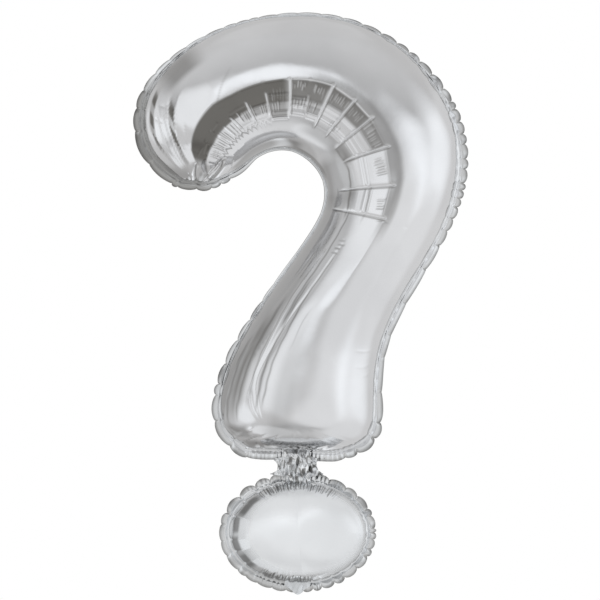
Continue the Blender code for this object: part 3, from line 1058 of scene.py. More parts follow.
    def wrinkles(self, points: np.ndarray, places: np.ndarray,
                 across: np.ndarray) -> np.ndarray:
        """Depth of the groups of short wrinkles and of the zigzag line near the curled tip.

        Args:
            points: the grid with its flat panels.
            places: table row of each grid row.
            across: place of each column.

        Returns:
            Depth at each point.
        """
        lengths = running_length(points, 0)
        total = np.zeros(points.shape[:2])
        for at, middle, reach, depth in short_wrinkles():
            column = int(np.argmin(np.abs(across - middle)))
            window = 1.0 - smoothstep(0.45 * reach, reach, np.abs(across - middle))
            distance = lengths[:, column] - np.interp(at, places, lengths[:, column])
            shape = fold_profile(distance, self.wrinkle_width)
            total += depth * shape[:, None] * window[None, :]
        line = zigzag_line(places)
        window = plateau(0.9, 1.4, 3.7, 4.2, places)
        shape = np.exp(-np.abs(across[None, :] - line[:, None]) / self.zigzag_width)
        return total + self.zigzag_depth * shape * window[:, None]

    @staticmethod
    def dim_patches(bright: np.ndarray, places: np.ndarray, across: np.ndarray) -> None:
        """Paint shade into the listed patches; those that begin near the tube's middle follow the crest.

        Args:
            bright: painted brightness of the film at each point, changed in place.
            places: table row of each grid row.
            across: place of each column.
        """
        crest = np.interp(places, CREST[:, 0], CREST[:, 1])
        for first, last, soft, left, right, ease, strength in PAINTED_SHADE_PATCHES:
            along = plateau(first - soft, first + soft, last - soft, last + soft, places)
            pull = crest[:, None] if abs(left) < CREST_PATCHES else 0.0
            beside = smoothstep(left - ease, left + ease, across[None, :] - pull) \
                * (1.0 - smoothstep(right - ease, right + ease, across))[None, :]
            bright *= 1.0 - strength * along[:, None] * beside

    @staticmethod
    def dim_tip_facets(bright: np.ndarray, places: np.ndarray, across: np.ndarray) -> None:
        """Paint shade onto some of the long facets at the curled tip, in broken blotches.

        Args:
            bright: painted brightness of the film at each point, changed in place.
            places: table row of each grid row.
            across: place of each column.
        """
        number = np.interp(places, TIP_FACETS[:, 0], np.arange(len(TIP_FACETS)))
        lines = spline(TIP_FACETS[:, 1:], number)
        window = plateau(0.6, 1.4, 2.05, 2.45, places)
        for low, high, strength in zip(lines.T, lines.T[1:], TIP_FACET_PAINTED_SHADE):
            beside = smoothstep(-0.015, 0.015, across[None, :] - low[:, None]) \
                * smoothstep(-0.015, 0.015, high[:, None] - across[None, :])
            blotch = np.sin(places[:, None] * 17.0 + 21.0 * across[None, :] + 9.0 * strength) \
                + 0.7 * np.sin(places[:, None] * 43.0 - 70.0 * across[None, :]) \
                * (1.0 - smoothstep(1.3, 1.6, places))[:, None]
            blotch = 0.40 + 0.60 * smoothstep(-0.7, 0.2, blotch)
            bright *= 1.0 - strength * window[:, None] * blotch * beside

    @staticmethod
    def shade_wrinkles(bright: np.ndarray, places: np.ndarray, across: np.ndarray) -> None:
        """Give each short wrinkle a painted shadow on one side and a painted glint on the other.

        Args:
            bright: painted brightness of the film at each point, changed in place.
            places: table row of each grid row.
            across: place of each column.
        """
        for at, middle, reach, depth in short_wrinkles():
            beside = 1.0 - smoothstep(0.45 * reach, reach, np.abs(across - middle))
            shadow = stripe(places - at - 0.024, 0.016)
            bright *= 1.0 - min(0.60, 1400.0 * depth) * shadow[:, None] * beside[None, :]
            glint = stripe(places - at + 0.008, 0.014)
            bright += (1.0 - bright) * min(0.45, 900.0 * depth) * glint[:, None] * beside[None, :]

    def shade_long_lines(self, bright: np.ndarray, places: np.ndarray,
                         across: np.ndarray) -> None:
        """Paint a highlight beside the crest, and shade on the zigzag and the listed lines of the tube.

        Args:
            bright: painted brightness of the film at each point, changed in place.
            places: table row of each grid row.
            across: place of each column.
        """
        crest = np.interp(places, CREST[:, 0], CREST[:, 1])
        window = plateau(4.4, 4.6, 6.4, 6.6, places)
        line = stripe(across[None, :] - crest[:, None] - self.crest_line, self.crest_width)
        bright += (1.0 - bright) * 0.85 * window[:, None] * line
        window = plateau(1.3, 1.7, 2.9, 4.0, places)
        line = stripe(across[None, :] - zigzag_line(places)[:, None] - 0.010, 0.009)
        bright *= 1.0 - 0.90 * window[:, None] * line
        for first, last, left, right, reach, strength in PAINTED_DARK_LINES:
            middle = np.interp(places, (first, last), (left, right)) + 0.006 * np.sin(places * 5.0) \
                + 0.003 * np.sin(places * 17.0 + 9.0 * left)
            window = plateau(first, first + 0.4, last - 0.4, last, places)
            line = stripe(across[None, :] - middle[:, None], reach)
            bright *= 1.0 - strength * window[:, None] * line

    @staticmethod
    def shade_folds(bright: np.ndarray, places: np.ndarray, across: np.ndarray) -> None:
        """Give each cross fold a painted glint on its line and a painted shadow beside it.

        Args:
            bright: painted brightness of the film at each point, changed in place.
            places: table row of each grid row.
            across: place of each column.
        """
        for row, start, stop, strength, slant in CURVE_FOLDS:
            distance = places[:, None] - row - slant * across[None, :]
            span = plateau(start - 0.03, start + 0.03, stop - 0.10, stop, across)
            shadow = strength * span[None, :] * stripe(distance - 0.052, 0.020)
            bright *= 1.0 - 0.65 * np.clip(shadow, 0.0, 1.0)
            glint = strength * span[None, :] * stripe(distance, 0.030)
            bright += (1.0 - bright) * 0.8 * np.clip(glint, 0.0, 1.0)

    def painted_shading(self, places: np.ndarray, across: np.ndarray) -> np.ndarray:
        """Painted shade of the film at each point of a foil, lifted again by its painted glints.

        Args:
            places: table row of each grid row.
            across: place of each column.

        Returns:
            Values from 0 to 1.
        """
        bright = np.ones((len(places), len(across)))
        for shade in (self.dim_patches, self.dim_tip_facets, self.shade_wrinkles,
                      self.shade_long_lines, self.shade_folds):
            shade(bright, places, across)
        return 1.0 - bright

    def tube_streaks(self, points: np.ndarray, places: np.ndarray,
                     across: np.ndarray) -> np.ndarray:
        """Depth of the soft valleys that run along the tube at its two ends.

        Args:
            points: the grid with its flat panels.
            places: table row of each grid row.
            across: place of each column.

        Returns:
            Depth at each point.
        """
        total = np.zeros(points.shape[:2])
        rows = places[:, None]
        rng = np.random.default_rng(SEED + 6)
        for middle, drift, width, depth, start, stop in TUBE_STREAKS:
            knots = np.arange(start - 1.0, stop + 1.0, 0.22)
            jitter = np.interp(places, knots, rng.uniform(-1.0, 1.0, len(knots)))[:, None]
            uneven = np.interp(places, knots, rng.uniform(0.55, 1.35, len(knots)))[:, None]
            line = middle + drift * np.sin((rows - start) * 0.9) + 0.18 * width * jitter
            shape = np.clip(1.0 - np.abs(across[None, :] - line) / (2.2 * width), 0.0, 1.0)
            reach = min(1.0, 0.45 * (stop - start))
            window = plateau(start, start + reach, stop - reach, stop, rows)
            total += depth * shape * window * uneven
        return total

    def folded_form(self, side: Side) -> tuple[np.ndarray, np.ndarray]:
        """Shape of one foil with all its folds.

        Args:
            side: which foil.

        Returns:
            The grid of points, and the painted shade of the film at each of them.
        """
        smooth, places, across = self.smooth_form(side)
        points = self.tip_facets(smooth, places, across)
        points = self.flat_panels(points, places, across)
        normal = grid_normals(smooth, side)
        along = running_length(points, 0)
        from_outer = running_length(points, 1)
        from_inner = from_outer[:, -1:] - from_outer
        from_base = along[-1:, :] - along
        depth = self.curve_folds(points, places, across)
        depth += self.wrinkles(points, places, across)
        depth += self.tube_streaks(points, places, across)
        rng = np.random.default_rng(SEED + 7)
        loose = 0.003 if side is Side.BACK else 0.0
        creased = np.zeros(points.shape[:2])
        for crease in HOOK_CREASES:
            crease.add_to(creased, points[..., (0, 2)], rng.uniform(-loose, loose, 2))
        depth += creased
        shadow = 0.60 * smoothstep(0.0007, 0.0022, creased)
        for rail, puckers in self.puckers(points).items():
            if rail is Rail.OUTER:
                depth += pucker_depth(along[:, :1], from_outer, puckers)
            elif rail is Rail.INNER:
                depth += pucker_depth(along[:, -1:], from_inner, puckers)
            elif rail is Rail.BASE:
                depth += pucker_depth(from_outer[-1:, :], from_base, puckers)
            else:
                depth += pucker_depth(from_outer[:1, :], along, puckers)
        edge = smoothstep(0.0, 0.012, np.minimum(from_outer, from_inner)) \
            * smoothstep(0.0, 0.012, np.minimum(along, from_base))
        swell = waves(points, 0.17, SEED) * 0.0004 + waves(points, 0.07, SEED + 1) * 0.00016
        moved = points - normal * (depth - swell * edge)[..., None]
        moved[..., 1] = side.value * np.maximum(side.value * moved[..., 1], LEAST_GAP)
        return moved, np.maximum(self.painted_shading(places, across), shadow)

    def puckers(self, points: np.ndarray) -> dict[Rail, list[Pucker]]:
        """The folds that start at each seam of the hook.

        Args:
            points: the grid with its flat panels.

        Returns:
            Puckers for each seam.
        """
        outer = running_length(points[:, 0], 0)[-1]
        inner = running_length(points[:, -1], 0)[-1]
        base = running_length(points[-1, :], 0)[-1]
        tip = running_length(points[0, :], 0)[-1]
        return {
            Rail.OUTER: scatter_puckers(outer, pitch=0.020, depth=0.0012, width=0.0024,
                                        reach=0.020, seed=SEED + 11),
            Rail.INNER: scatter_puckers(inner, pitch=0.030, depth=0.0006, width=0.0024,
                                        reach=0.016, seed=SEED + 12),
            Rail.BASE: scatter_puckers(base, pitch=0.0046, depth=0.0008, width=0.0012,
                                       reach=0.013, seed=SEED + 13),
            Rail.TIP: scatter_puckers(tip, pitch=0.009, depth=0.0012, width=0.0020,
                                      reach=0.030, seed=SEED + 14),
        }

    def seam_line(self) -> np.ndarray:
        """Closed outline of the seam: x, z, band width, lobe depth, how pleated and how much painted
        shade.

        Returns:
            One row for each point.
        """
        places = np.linspace(0.0, len(HOOK_RUNGS) - 1.0, 1400)
        rungs = spline(HOOK_RUNGS, places)
        outer = rungs[:, (0, 1, 5, 7)]
        inner = rungs[::-1][:, (2, 3, 6, 8)]
        base = np.linspace(outer[-1], inner[0], 60)[1:-1]
        tip = np.linspace(inner[-1], outer[0], 30)[1:-1]
        line = np.vstack((outer, base, inner, tip))
        closed = np.vstack((line, line[:1]))
        length = running_length(closed[:, :2], 0)
        even = np.linspace(0.0, length[-1], 2200, endpoint=False)
        line = np.stack([np.interp(even, length, closed[:, k]) for k in range(4)], axis=-1)
        line = blur(line, 3.0, closed=True)
        base = plateau(-0.102, -0.090, 0.038, 0.050, line[:, 0]) * (line[:, 1] < -0.28)
        # painted shade on the band round the curled tip
        tip = 1.0 - smoothstep(0.075, 0.120, np.hypot(line[:, 0] + 0.235, line[:, 1] - 0.150))
        return np.column_stack((line, base, tip))

    def build(self) -> list[bpy.types.Object]:
        """Make the two foils and the band, and put them in place of their solids.

        Returns:
            The pieces.
        """
        foil = self.panel.make()
        pieces = []
        for side, word in ((Side.FRONT, "front"), (Side.BACK, "back")):
            points, painted_shade = self.folded_form(side)
            piece = make_sheet(f"hook_{word}_foil", points, flip=side is Side.BACK,
                               marks={"painted_shade": painted_shade})
            dress(piece, foil)
            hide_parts(f"hook_{word}_panel")
            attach(piece, "hook")
            pieces.append(piece)
        band = SeamBand(self.seam_line(), HOOK_NOTCHES, widest=0.060,
                        seed=SEED + 31).make("hook_band_foil")
        dress(band, self.band.make())
        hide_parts("hook_seam_band")
        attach(band, "hook")
        return pieces + [band]


# places of a band's columns: 0 at the seam, 1 at the free edge, and below zero between the foils
BAND_COLUMNS = np.array((-1.0, -0.4, 0.0, 0.06, 0.12, 0.18, 0.26, 0.38, 0.50, 0.62, 0.74, 0.84, 0.92,
                         0.97, 1.0))


@dataclass
class SeamBand:
    """Sealed band along a closed seam, with lobes and ripples on its free edge.

    The columns of its line are x, z, width, depth of the lobes, how pleated and how much painted shade it
    has.
    """

    line: np.ndarray
    notches: tuple[tuple[float, float], ...]
    widest: float
    seed: int
    inside: float = 0.006
    ripple: float = 0.0020
    curl: float = 0.0012
    weld_depth: float = 0.00040
    weld_place: float = 0.0015
    weld_width: float = 0.0006
    step_height: float = 0.0016
    pleat_pitch: float = 0.0034
    pleat_height: float = 0.0018
    crease_height: float = 0.0009
    crease_width: float = 0.0012
    crease_painted_shade: float = 0.88
    petal_painted_shade: float = 0.42

    def notch_places(self, length: np.ndarray) -> np.ndarray:
        """Places of the notches along the seam, with more where the listed ones are far apart.

        Args:
            length: running length of the closed seam line.

        Returns:
            Increasing places, the first 0 and the last the whole length.
        """
        rng = np.random.default_rng(self.seed)
        spots = np.array(self.notches, dtype=float) * 0.001
        gaps = np.linalg.norm(self.line[None, :, :2] - spots[:, None, :], axis=-1)
        places = np.unique(np.concatenate(((0.0, length[-1]), length[np.argmin(gaps, axis=1)])))
        places = places[np.concatenate(((True,), np.diff(places) > 0.004))]
        filled = [0.0]
        for place in places[1:]:
            spare = int((place - filled[-1]) / self.widest)
            start = filled[-1]
            for number in range(spare):
                filled.append(start + (place - start) * (number + rng.uniform(0.75, 1.25))
                              / (spare + 1.0))
            filled.append(place)
        filled[-1] = length[-1]
        return np.array(filled)

    def outward(self) -> np.ndarray:
        """Directions away from the foils, in x and z.

        Returns:
            One unit vector for each point of the seam.
        """
        line = self.line
        tangent = np.roll(line[:, :2], -2, axis=0) - np.roll(line[:, :2], 2, axis=0)
        tangent /= np.linalg.norm(tangent, axis=1, keepdims=True)
        area = np.sum(line[:, 0] * np.roll(line[:, 1], -1) - np.roll(line[:, 0], -1) * line[:, 1])
        return np.stack((tangent[:, 1], -tangent[:, 0]), axis=-1) * np.sign(area)

    def make(self, name: str) -> bpy.types.Object:
        """Build the band as a sheet that is lifted by its ripples, weld, step and creases.

        Args:
            name: name of the piece.

        Returns:
            The new object.
        """
        line = self.line
        length = running_length(np.vstack((line, line[:1]))[:, :2], 0)
        along = length[:-1]
        out = self.outward()
        rng = np.random.default_rng(self.seed + 2)
        notches = self.notch_places(length)
        numbers = np.interp(along, notches, np.arange(len(notches)))
        part = numbers - numbers.astype(int)
        lobe = np.sin(math.pi * part) ** 0.55
        lean = rng.uniform(-1.0, 1.0, len(notches))[numbers.astype(int)]
        power = rng.uniform(0.7, 1.4, len(notches))[numbers.astype(int)]
        width = line[:, 2] + np.maximum(line[:, 3], 0.0003) * (lobe - 1.0) * 1.5
        columns = BAND_COLUMNS[None, :]
        reach = np.where(columns < 0.0, columns * self.inside, columns * width[:, None])
        share = np.clip(columns, 0.0, 1.0)
        loose = np.clip(line[:, 3:4] / 0.003, 0.12, 1.3)
        bulge = (power * (0.35 + np.abs(lean)) * np.sign(lean))[:, None] \
            * (np.sin(math.pi * part) ** 0.8)[:, None]
        lift = bulge * self.ripple * share ** 1.1 * loose
        lift = lift + self.curl * share ** 2 * loose * np.sign(lean)[:, None] * lobe[:, None]
        pleat = np.abs((along / self.pleat_pitch + 0.35 * np.sin(along * 240.0)) % 2.0 - 1.0) - 0.5
        lift = lift + (line[:, 4] * pleat)[:, None] * self.pleat_height \
            * np.clip(share * 4.0, 0.0, 1.0)
        lift = lift - self.weld_depth * stripe(reach - self.weld_place, self.weld_width)
        lift = lift + self.step_height * plateau(0.0, 0.07, 0.07, 0.38, share)
        nearest = np.abs(along[:, None] - notches[None, :]).min(axis=1)
        crease = fold_profile(nearest, self.crease_width)[:, None] \
            * smoothstep(0.34, 0.62, share) * np.minimum(loose, 1.0)
        lift = lift + self.crease_height * crease
        points = np.empty((len(line), len(BAND_COLUMNS), 3))
        points[..., 0] = line[:, 0:1] + out[:, 0:1] * reach
        points[..., 2] = line[:, 1:2] + out[:, 1:2] * reach
        points[..., 1] = lift
        # painted shade: darker towards the free edge and along the notch creases, and a dark strip across
        # the petals
        edge = np.maximum(share, self.crease_painted_shade * crease)
        petal = self.petal_painted_shade * smoothstep(0.34, 0.42, share) * np.minimum(loose, 1.0)
        painted_shade = np.maximum(line[:, 5:6], petal)
        return make_sheet(name, points, closed=True, marks={"edge": edge, "painted_shade": painted_shade})


@dataclass
class Dot:
    """The inflated oval dot with its band."""

    x: float = -0.024
    z: float = -0.412
    half_width: float = 0.102
    half_height: float = 0.075
    half_depth: float = 0.051
    band_width: float = 0.014
    lobe: float = 0.003
    spokes: int = 900
    rings: int = 96
    pleat_start: float = 0.855
    notch_depth: float = 0.0024
    notch_width: float = 0.0016
    notch_reach: float = 0.042
    dent_x: float = -0.025
    dent_z: float = -0.481
    dent_half_width: float = 0.009
    dent_half_height: float = 0.004
    dent_depth: float = 0.0022
    panel: FoilFinish = field(default_factory=lambda: FoilFinish(
        "silver foil of the dot", (0.82, 0.835, 0.85), (0.76, 0.775, 0.79), 0.09, 0.16,
        painted_shade_level=0.22, haze_middle=(-0.013, -0.409), haze_reach=(0.103, 0.075),
        haze_metallic=0.62, haze_rough=0.30))
    band: FoilFinish = field(default_factory=lambda: FoilFinish(
        "sealed foil of the dot", (0.90, 0.91, 0.92), (0.82, 0.83, 0.84), 0.10, 0.17,
        wrinkle_scale=120.0, wrinkle_depth=0.00010, painted_edge_shade=0.45, painted_shade_level=0.60))

    def seam_line(self, count: int) -> np.ndarray:
        """Seam of the dot: x, z, band width, lobe depth, how pleated and how much painted shade.

        Args:
            count: number of points.

        Returns:
            One row for each point, counter-clockwise from the right.
        """
        angle = np.linspace(0.0, 2.0 * math.pi, count, endpoint=False)
        turn = np.degrees(angle)
        line = np.empty((count, 6))
        line[:, 0] = self.x + self.half_width * np.cos(angle)
        line[:, 1] = self.z + self.half_height * np.sin(angle)
        line[:, 2] = self.band_width
        line[:, 3] = self.lobe * np.interp(turn, (0, 40, 95, 120, 155, 175, 240, 275, 300, 360),
                                           (0.8, 1.0, 1.0, 1.6, 1.6, 0.5, 0.5, 1.0, 1.2, 0.8))
        line[:, 4] = self.pleated(turn)
        # painted shade on the band low on the dot
        line[:, 5] = 0.5 * plateau(205.0, 235.0, 262.0, 285.0, turn)
        return line

    @staticmethod
    def pleated(angle: np.ndarray) -> np.ndarray:
        """How pleated the rim is in each direction, in degrees: at the top and low on the left."""
        return plateau(48.0, 62.0, 122.0, 136.0, angle) + plateau(228.0, 242.0, 276.0, 290.0, angle)

    def flat_rim(self, points: np.ndarray, ring: np.ndarray) -> np.ndarray:
        """Pull the rim straight between the notches on the left.

        Args:
            points: the smooth grid.
            ring: radius of each column, from 0 to 1.

        Returns:
            The grid with flat panels on the left of its rim.
        """
        spots = np.array(DOT_NOTCHES, dtype=float) * 0.001 - (self.x, self.z)
        turn = np.degrees(np.arctan2(spots[:, 1] / self.half_height, spots[:, 0] / self.half_width))
        turn = np.sort(turn % 360.0)
        turn = turn[(turn > 125.0) & (turn < 240.0)]
        angle = np.arange(self.spokes) * 360.0 / self.spokes
        inside = (angle >= turn[0]) & (angle <= turn[-1])
        result = points.copy()
        for column in range(points.shape[1]):
            chord, _ = chords(points[:, column], angle, turn)
            weight = float(plateau(0.70, 0.78, 0.985, 1.0, ring[column])) * inside[:, None]
            result[:, column] = points[:, column] * (1.0 - weight) + chord * weight
        return result

    @staticmethod
    def squareness(angle: np.ndarray) -> np.ndarray:
        """How flat the top of the foil is in each direction: less so to the left and below."""
        return np.interp(angle, (0, 50, 90, 130, 160, 200, 235, 275, 310, 360),
                         (5.0, 3.6, 2.0, 2.2, 2.3, 2.3, 2.3, 2.2, 3.4, 5.0))

    @staticmethod
    def painted_shading(angle: np.ndarray, ring: np.ndarray) -> np.ndarray:
        """Painted shade of the film at each point of a foil.

        Args:
            angle: direction of each row, in degrees.
            ring: radius of each column, from 0 to 1.

        Returns:
            Values from 0 to 1.
        """
        bright = np.ones((len(angle), len(ring)))
        for first, last, soft, inner, outer, ease, strength in DOT_PAINTED_SHADE_PATCHES:
            round_about = plateau(first - soft, first + soft, last - soft, last + soft, angle)
            beside = plateau(inner - ease, inner + ease, outer - ease, outer + ease, ring)
            bright *= 1.0 - strength * round_about[:, None] * beside[None, :]
        return 1.0 - bright

    def folded_form(self, side: Side) -> tuple[np.ndarray, np.ndarray]:
        """Grid of one foil, rows round the dot and columns from its middle to its seam.

        Args:
            side: which foil.

        Returns:
            The grid of points, and the painted shade of the film at each of them.
        """
        seam = self.seam_line(self.spokes)[:, :2] - (self.x, self.z)
        slope = np.linspace(0.0, 1.0, self.rings + 1) * math.pi / 2.0
        ring = np.maximum(np.sin(slope), 1e-4)
        angle = np.arange(self.spokes) * 360.0 / self.spokes
        power = self.squareness(angle)[:, None]
        dome = np.maximum(1.0 - ring[None, :] ** power, 0.0) ** (1.0 / power)
        points = np.empty((self.spokes, self.rings + 1, 3))
        points[..., 0] = self.x + seam[:, 0:1] * ring[None, :]
        points[..., 2] = self.z + seam[:, 1:2] * ring[None, :]
        points[..., 1] = side.value * (SEAM_GAP + self.half_depth * dome)
        along = running_length(np.vstack((seam, seam[:1])), 0)
        inward = running_length(points[:, ::-1], 1)[:, ::-1]
        wrapped = np.concatenate((points[-2:], points, points[:2]))
        normal = grid_normals(wrapped, side)[2:-2]
        points = self.flat_rim(points, ring)
        edge = along[:-1, None]
        folds = scatter_puckers(along[-1], pitch=0.016, depth=0.0011, width=0.0018, reach=0.020,
                                seed=SEED + 21)
        pleats = scatter_puckers(along[-1], pitch=0.0046, depth=0.0013, width=0.0011, reach=0.040,
                                 seed=SEED + 22)
        spots = np.array(DOT_NOTCHES, dtype=float) * 0.001 - (self.x, self.z)
        notch = [Pucker(float(along[int(np.argmin(np.linalg.norm(seam - spot, axis=1)))]),
                        self.notch_depth, self.notch_width, self.notch_reach) for spot in spots]
        depth = np.zeros(points.shape[:2])
        for turn in (-along[-1], 0.0, along[-1]):
            depth += pucker_depth(edge + turn, inward, notch)
            depth += 0.5 * pucker_depth(edge + turn, inward, folds)
        depth += pucker_depth(edge, inward, pleats) * self.pleated(angle)[:, None]
        depth *= smoothstep(0.0, 0.2, ring)[None, :]
        spot = (points[..., 0] - self.dent_x) ** 2 / self.dent_half_width ** 2 \
            + (points[..., 2] - self.dent_z) ** 2 / self.dent_half_height ** 2
        depth += self.dent_depth * np.exp(-spot)
        calm = smoothstep(0.0, 0.35, ring)[None, :] * smoothstep(0.0, 0.01, inward)
        swell = waves(points, 0.09, SEED + 3) * 0.0003 * calm
        moved = points - normal * (depth - swell)[..., None]
        moved[..., 1] = side.value * np.maximum(side.value * moved[..., 1], LEAST_GAP)
        lines = self.pleat_lines(edge, angle, ring)
        return moved, np.maximum(self.painted_shading(angle, ring), lines)

    def pleat_lines(self, edge: np.ndarray, angle: np.ndarray, ring: np.ndarray) -> np.ndarray:
        """Shadow between the fine pleats of the rim.

        Args:
            edge: length along the seam at each row.
            angle: direction of each row, in degrees.
            ring: radius of each column, from 0 to 1.

        Returns:
            Values from 0 to 1.
        """
        uneven = 0.45 * np.sin(edge * 310.0) + 0.30 * np.sin(edge * 820.0)
        stripe = np.abs((edge / 0.0021 + uneven) % 2.0 - 1.0)
        reach = self.pleat_start + 0.020 * np.sin(edge * 560.0) + 0.015 * np.sin(edge * 1370.0)
        window = smoothstep(reach - 0.012, reach + 0.012, ring[None, :])
        return 0.85 * smoothstep(0.35, 0.85, stripe) * self.pleated(angle)[:, None] * window

    def build(self) -> list[bpy.types.Object]:
        """Make the dot's two foils and its band.

        Returns:
            The pieces.
        """
        foil = self.panel.make()
        pieces = []
        for side, word in ((Side.FRONT, "front"), (Side.BACK, "back")):
            points, painted_shade = self.folded_form(side)
            piece = make_sheet(f"dot_{word}_foil", points, closed=True, flip=side is Side.FRONT,
                               marks={"painted_shade": painted_shade})
            dress(piece, foil)
            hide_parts(f"dot_{word}_panel")
            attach(piece, "dot")
            pieces.append(piece)
        band = SeamBand(self.seam_line(1000), DOT_NOTCHES, widest=0.030,
                        seed=SEED + 32).make("dot_band_foil")
        dress(band, self.band.make())
        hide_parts("dot_seam_band")
        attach(band, "dot")
        return pieces + [band]


@dataclass
class Neck:
    """Crumpled foil between hook and dot, with the gas passage down its middle."""

    x: float = -0.025
    top: float = -0.286
    bottom: float = -0.346
    middle: float = -0.315
    half_width: float = 0.028
    waist_height: float = 0.0125
    passage: float = 0.0205
    gap: float = 0.0016
    fullness: float = 0.0030
    bulge: float = 0.0085
    flare_above: float = 0.008
    flare_below: float = 0.014
    fold_pitch: float = 0.0080
    fold_height: float = 0.0034
    small_fold_pitch: float = 0.0038
    small_fold_height: float = 0.0015
    pleat_pitch: float = 0.0036
    pleat_height: float = 0.0012
    painted_reflection_pitch: float = 0.0042
    flex_reach: float = 0.007
    columns: int = 220
    rows: int = 140
    finish: FoilFinish = field(default_factory=lambda: FoilFinish(
        "crumpled foil", (0.92, 0.93, 0.94), (0.84, 0.85, 0.86), 0.09, 0.16,
        wrinkle_scale=120.0, wrinkle_depth=0.00015, painted_shade_level=0.42))

    @staticmethod
    def crumple(coords: np.ndarray, pitch: float, seed: int) -> np.ndarray:
        """Sharp-edged folds in all directions, as crumpled film has.

        Args:
            coords: place of each point.
            pitch: typical distance between folds.
            seed: number that fixes the pattern.

        Returns:
            Heights from about -1 to 1.
        """
        rng = np.random.default_rng(seed)
        bent = coords + np.stack((waves(coords, 2.2 * pitch, seed + 1, 8),
                                  waves(coords, 2.2 * pitch, seed + 2, 8)), axis=-1) * 0.25 * pitch
        total = np.zeros(coords.shape[:-1])
        for _ in range(5):
            turn = rng.uniform(0.0, math.pi)
            wave = (bent @ np.array((math.cos(turn), math.sin(turn)))) / pitch + rng.uniform(0.0, 2.0)
            total += np.abs(wave % 2.0 - 1.0) - 0.5
        return total / 1.2

    def form(self, side: Side) -> tuple[np.ndarray, np.ndarray]:
        """Grid of one crumpled sheet.

        Args:
            side: which sheet.

        Returns:
            The grid of points, and the painted dark reflections of the film at each of them.
        """
        across = np.linspace(-1.0, 1.0, self.columns)[None, :]
        height = np.linspace(self.top, self.bottom, self.rows)[:, None]
        off = np.abs(height - self.middle)
        wide = 1.0 - smoothstep(self.waist_height - 0.002, self.waist_height + 0.003, off)
        flare = np.where(height > self.middle, self.flare_above, self.flare_below) \
            * (off / self.waist_height) ** 2
        flare = np.minimum(flare, self.flare_below)
        half = self.passage + (self.half_width + flare - self.passage) * wide
        shift = 7 if side is Side.BACK else 0
        coords = np.stack(np.broadcast_arrays(self.x + across * half, height), axis=-1)
        x = coords[..., 0] + waves(coords, 0.02, SEED + 43 + shift, 8) * 0.0008
        bow = np.clip(1.0 - ((x - self.x) / self.passage) ** 2, 0.0, 1.0) ** 0.6
        folds = self.crumple(coords * (1.0, 0.5), self.fold_pitch, SEED + 41 + shift)
        small = self.crumple(coords * (1.0, 0.4), self.small_fold_pitch, SEED + 42 + shift)
        pleat = np.abs(((x - self.x) / self.pleat_pitch) % 2.0 - 1.0) - 0.5
        lean = smoothstep(0.004, 0.014, off)
        end = smoothstep(0.0, 0.010, height - self.bottom) * smoothstep(0.0, 0.010, self.top - height)
        depth = self.gap + (self.fullness + self.bulge * bow + folds * self.fold_height
                            + small * self.small_fold_height) * (0.15 + 0.85 * end) \
            + pleat * self.pleat_height * lean * end
        # painted dark reflections in scattered patches of the crumpled film
        painted_reflection = self.crumple(coords * (1.0, 0.45), self.painted_reflection_pitch, SEED + 44 + shift)
        painted_shade = smoothstep(0.15, 0.50, painted_reflection) * end
        return np.stack((x, side.value * np.maximum(depth, 0.5 * self.gap), coords[..., 1]), axis=-1), painted_shade

    def build(self) -> list[bpy.types.Object]:
        """Make both sheets and bend them between the hook and the dot.

        Returns:
            The pieces.
        """
        material = self.finish.make()
        pieces = []
        for side, word in ((Side.FRONT, "front"), (Side.BACK, "back")):
            points, painted_shade = self.form(side)
            piece = make_sheet(f"neck_{word}_foil", points, flip=side is Side.BACK,
                               marks={"painted_shade": painted_shade})
            dress(piece, material)
            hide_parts(f"neck_{word}_sheet")
            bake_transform(piece)
            pieces.append(piece)
        return pieces


@dataclass
class ValveTail:
    """Flat tail of the filling valve under the dot."""

    x: float = -0.024
    top: float = -0.478
    tip: float = -0.504
    half_width: float = 0.019
    slimming: float = 0.62
    offset: float = -0.0022
    finish: FoilFinish = field(default_factory=lambda: FoilFinish(
        "valve film", (0.80, 0.82, 0.84), (0.74, 0.76, 0.78), 0.14, 0.24,
        wrinkle_scale=160.0, wrinkle_depth=0.0003))

    def build(self) -> list[bpy.types.Object]:
        """Make the tail as a thin rippled tab.

        Returns:
            The one piece.
        """
        across = np.linspace(-1.0, 1.0, 60)[None, :]
        down = np.linspace(0.0, 1.0, 40)[:, None]
        taper = 1.0 - self.slimming * smoothstep(0.45, 1.0, down) ** 1.2
        x = self.x + across * self.half_width * taper
        low = self.tip + 0.004 * np.abs(across) ** 1.5
        z = self.top + (low - self.top) * down
        ripple = waves(np.stack((x, z * 0.5), axis=-1), 0.012, SEED + 51) * 0.0004 * down
        piece = make_sheet("valve_tail_film", np.stack((x, self.offset + ripple, z), axis=-1))
        dress(piece, self.finish.make())
        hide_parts("fill_valve_tail")
        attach(piece, "dot")
        return [piece]


@dataclass(frozen=True)
class Glow:
    """Soft patch of the room, in degrees as seen from the balloon, and its brightness."""

    name: str
    bearing: float
    height: float
    inner: float
    outer: float
    value: float

    def toward(self) -> Vector:
        """Direction to the middle of the patch; bearing 0 is the camera, 90 is the right.

        Returns:
            A unit vector.
        """
        turn = math.radians(self.bearing)
        rise = math.radians(self.height)
        return Vector((math.cos(rise) * math.sin(turn), -math.cos(rise) * math.cos(turn),
                       math.sin(rise)))


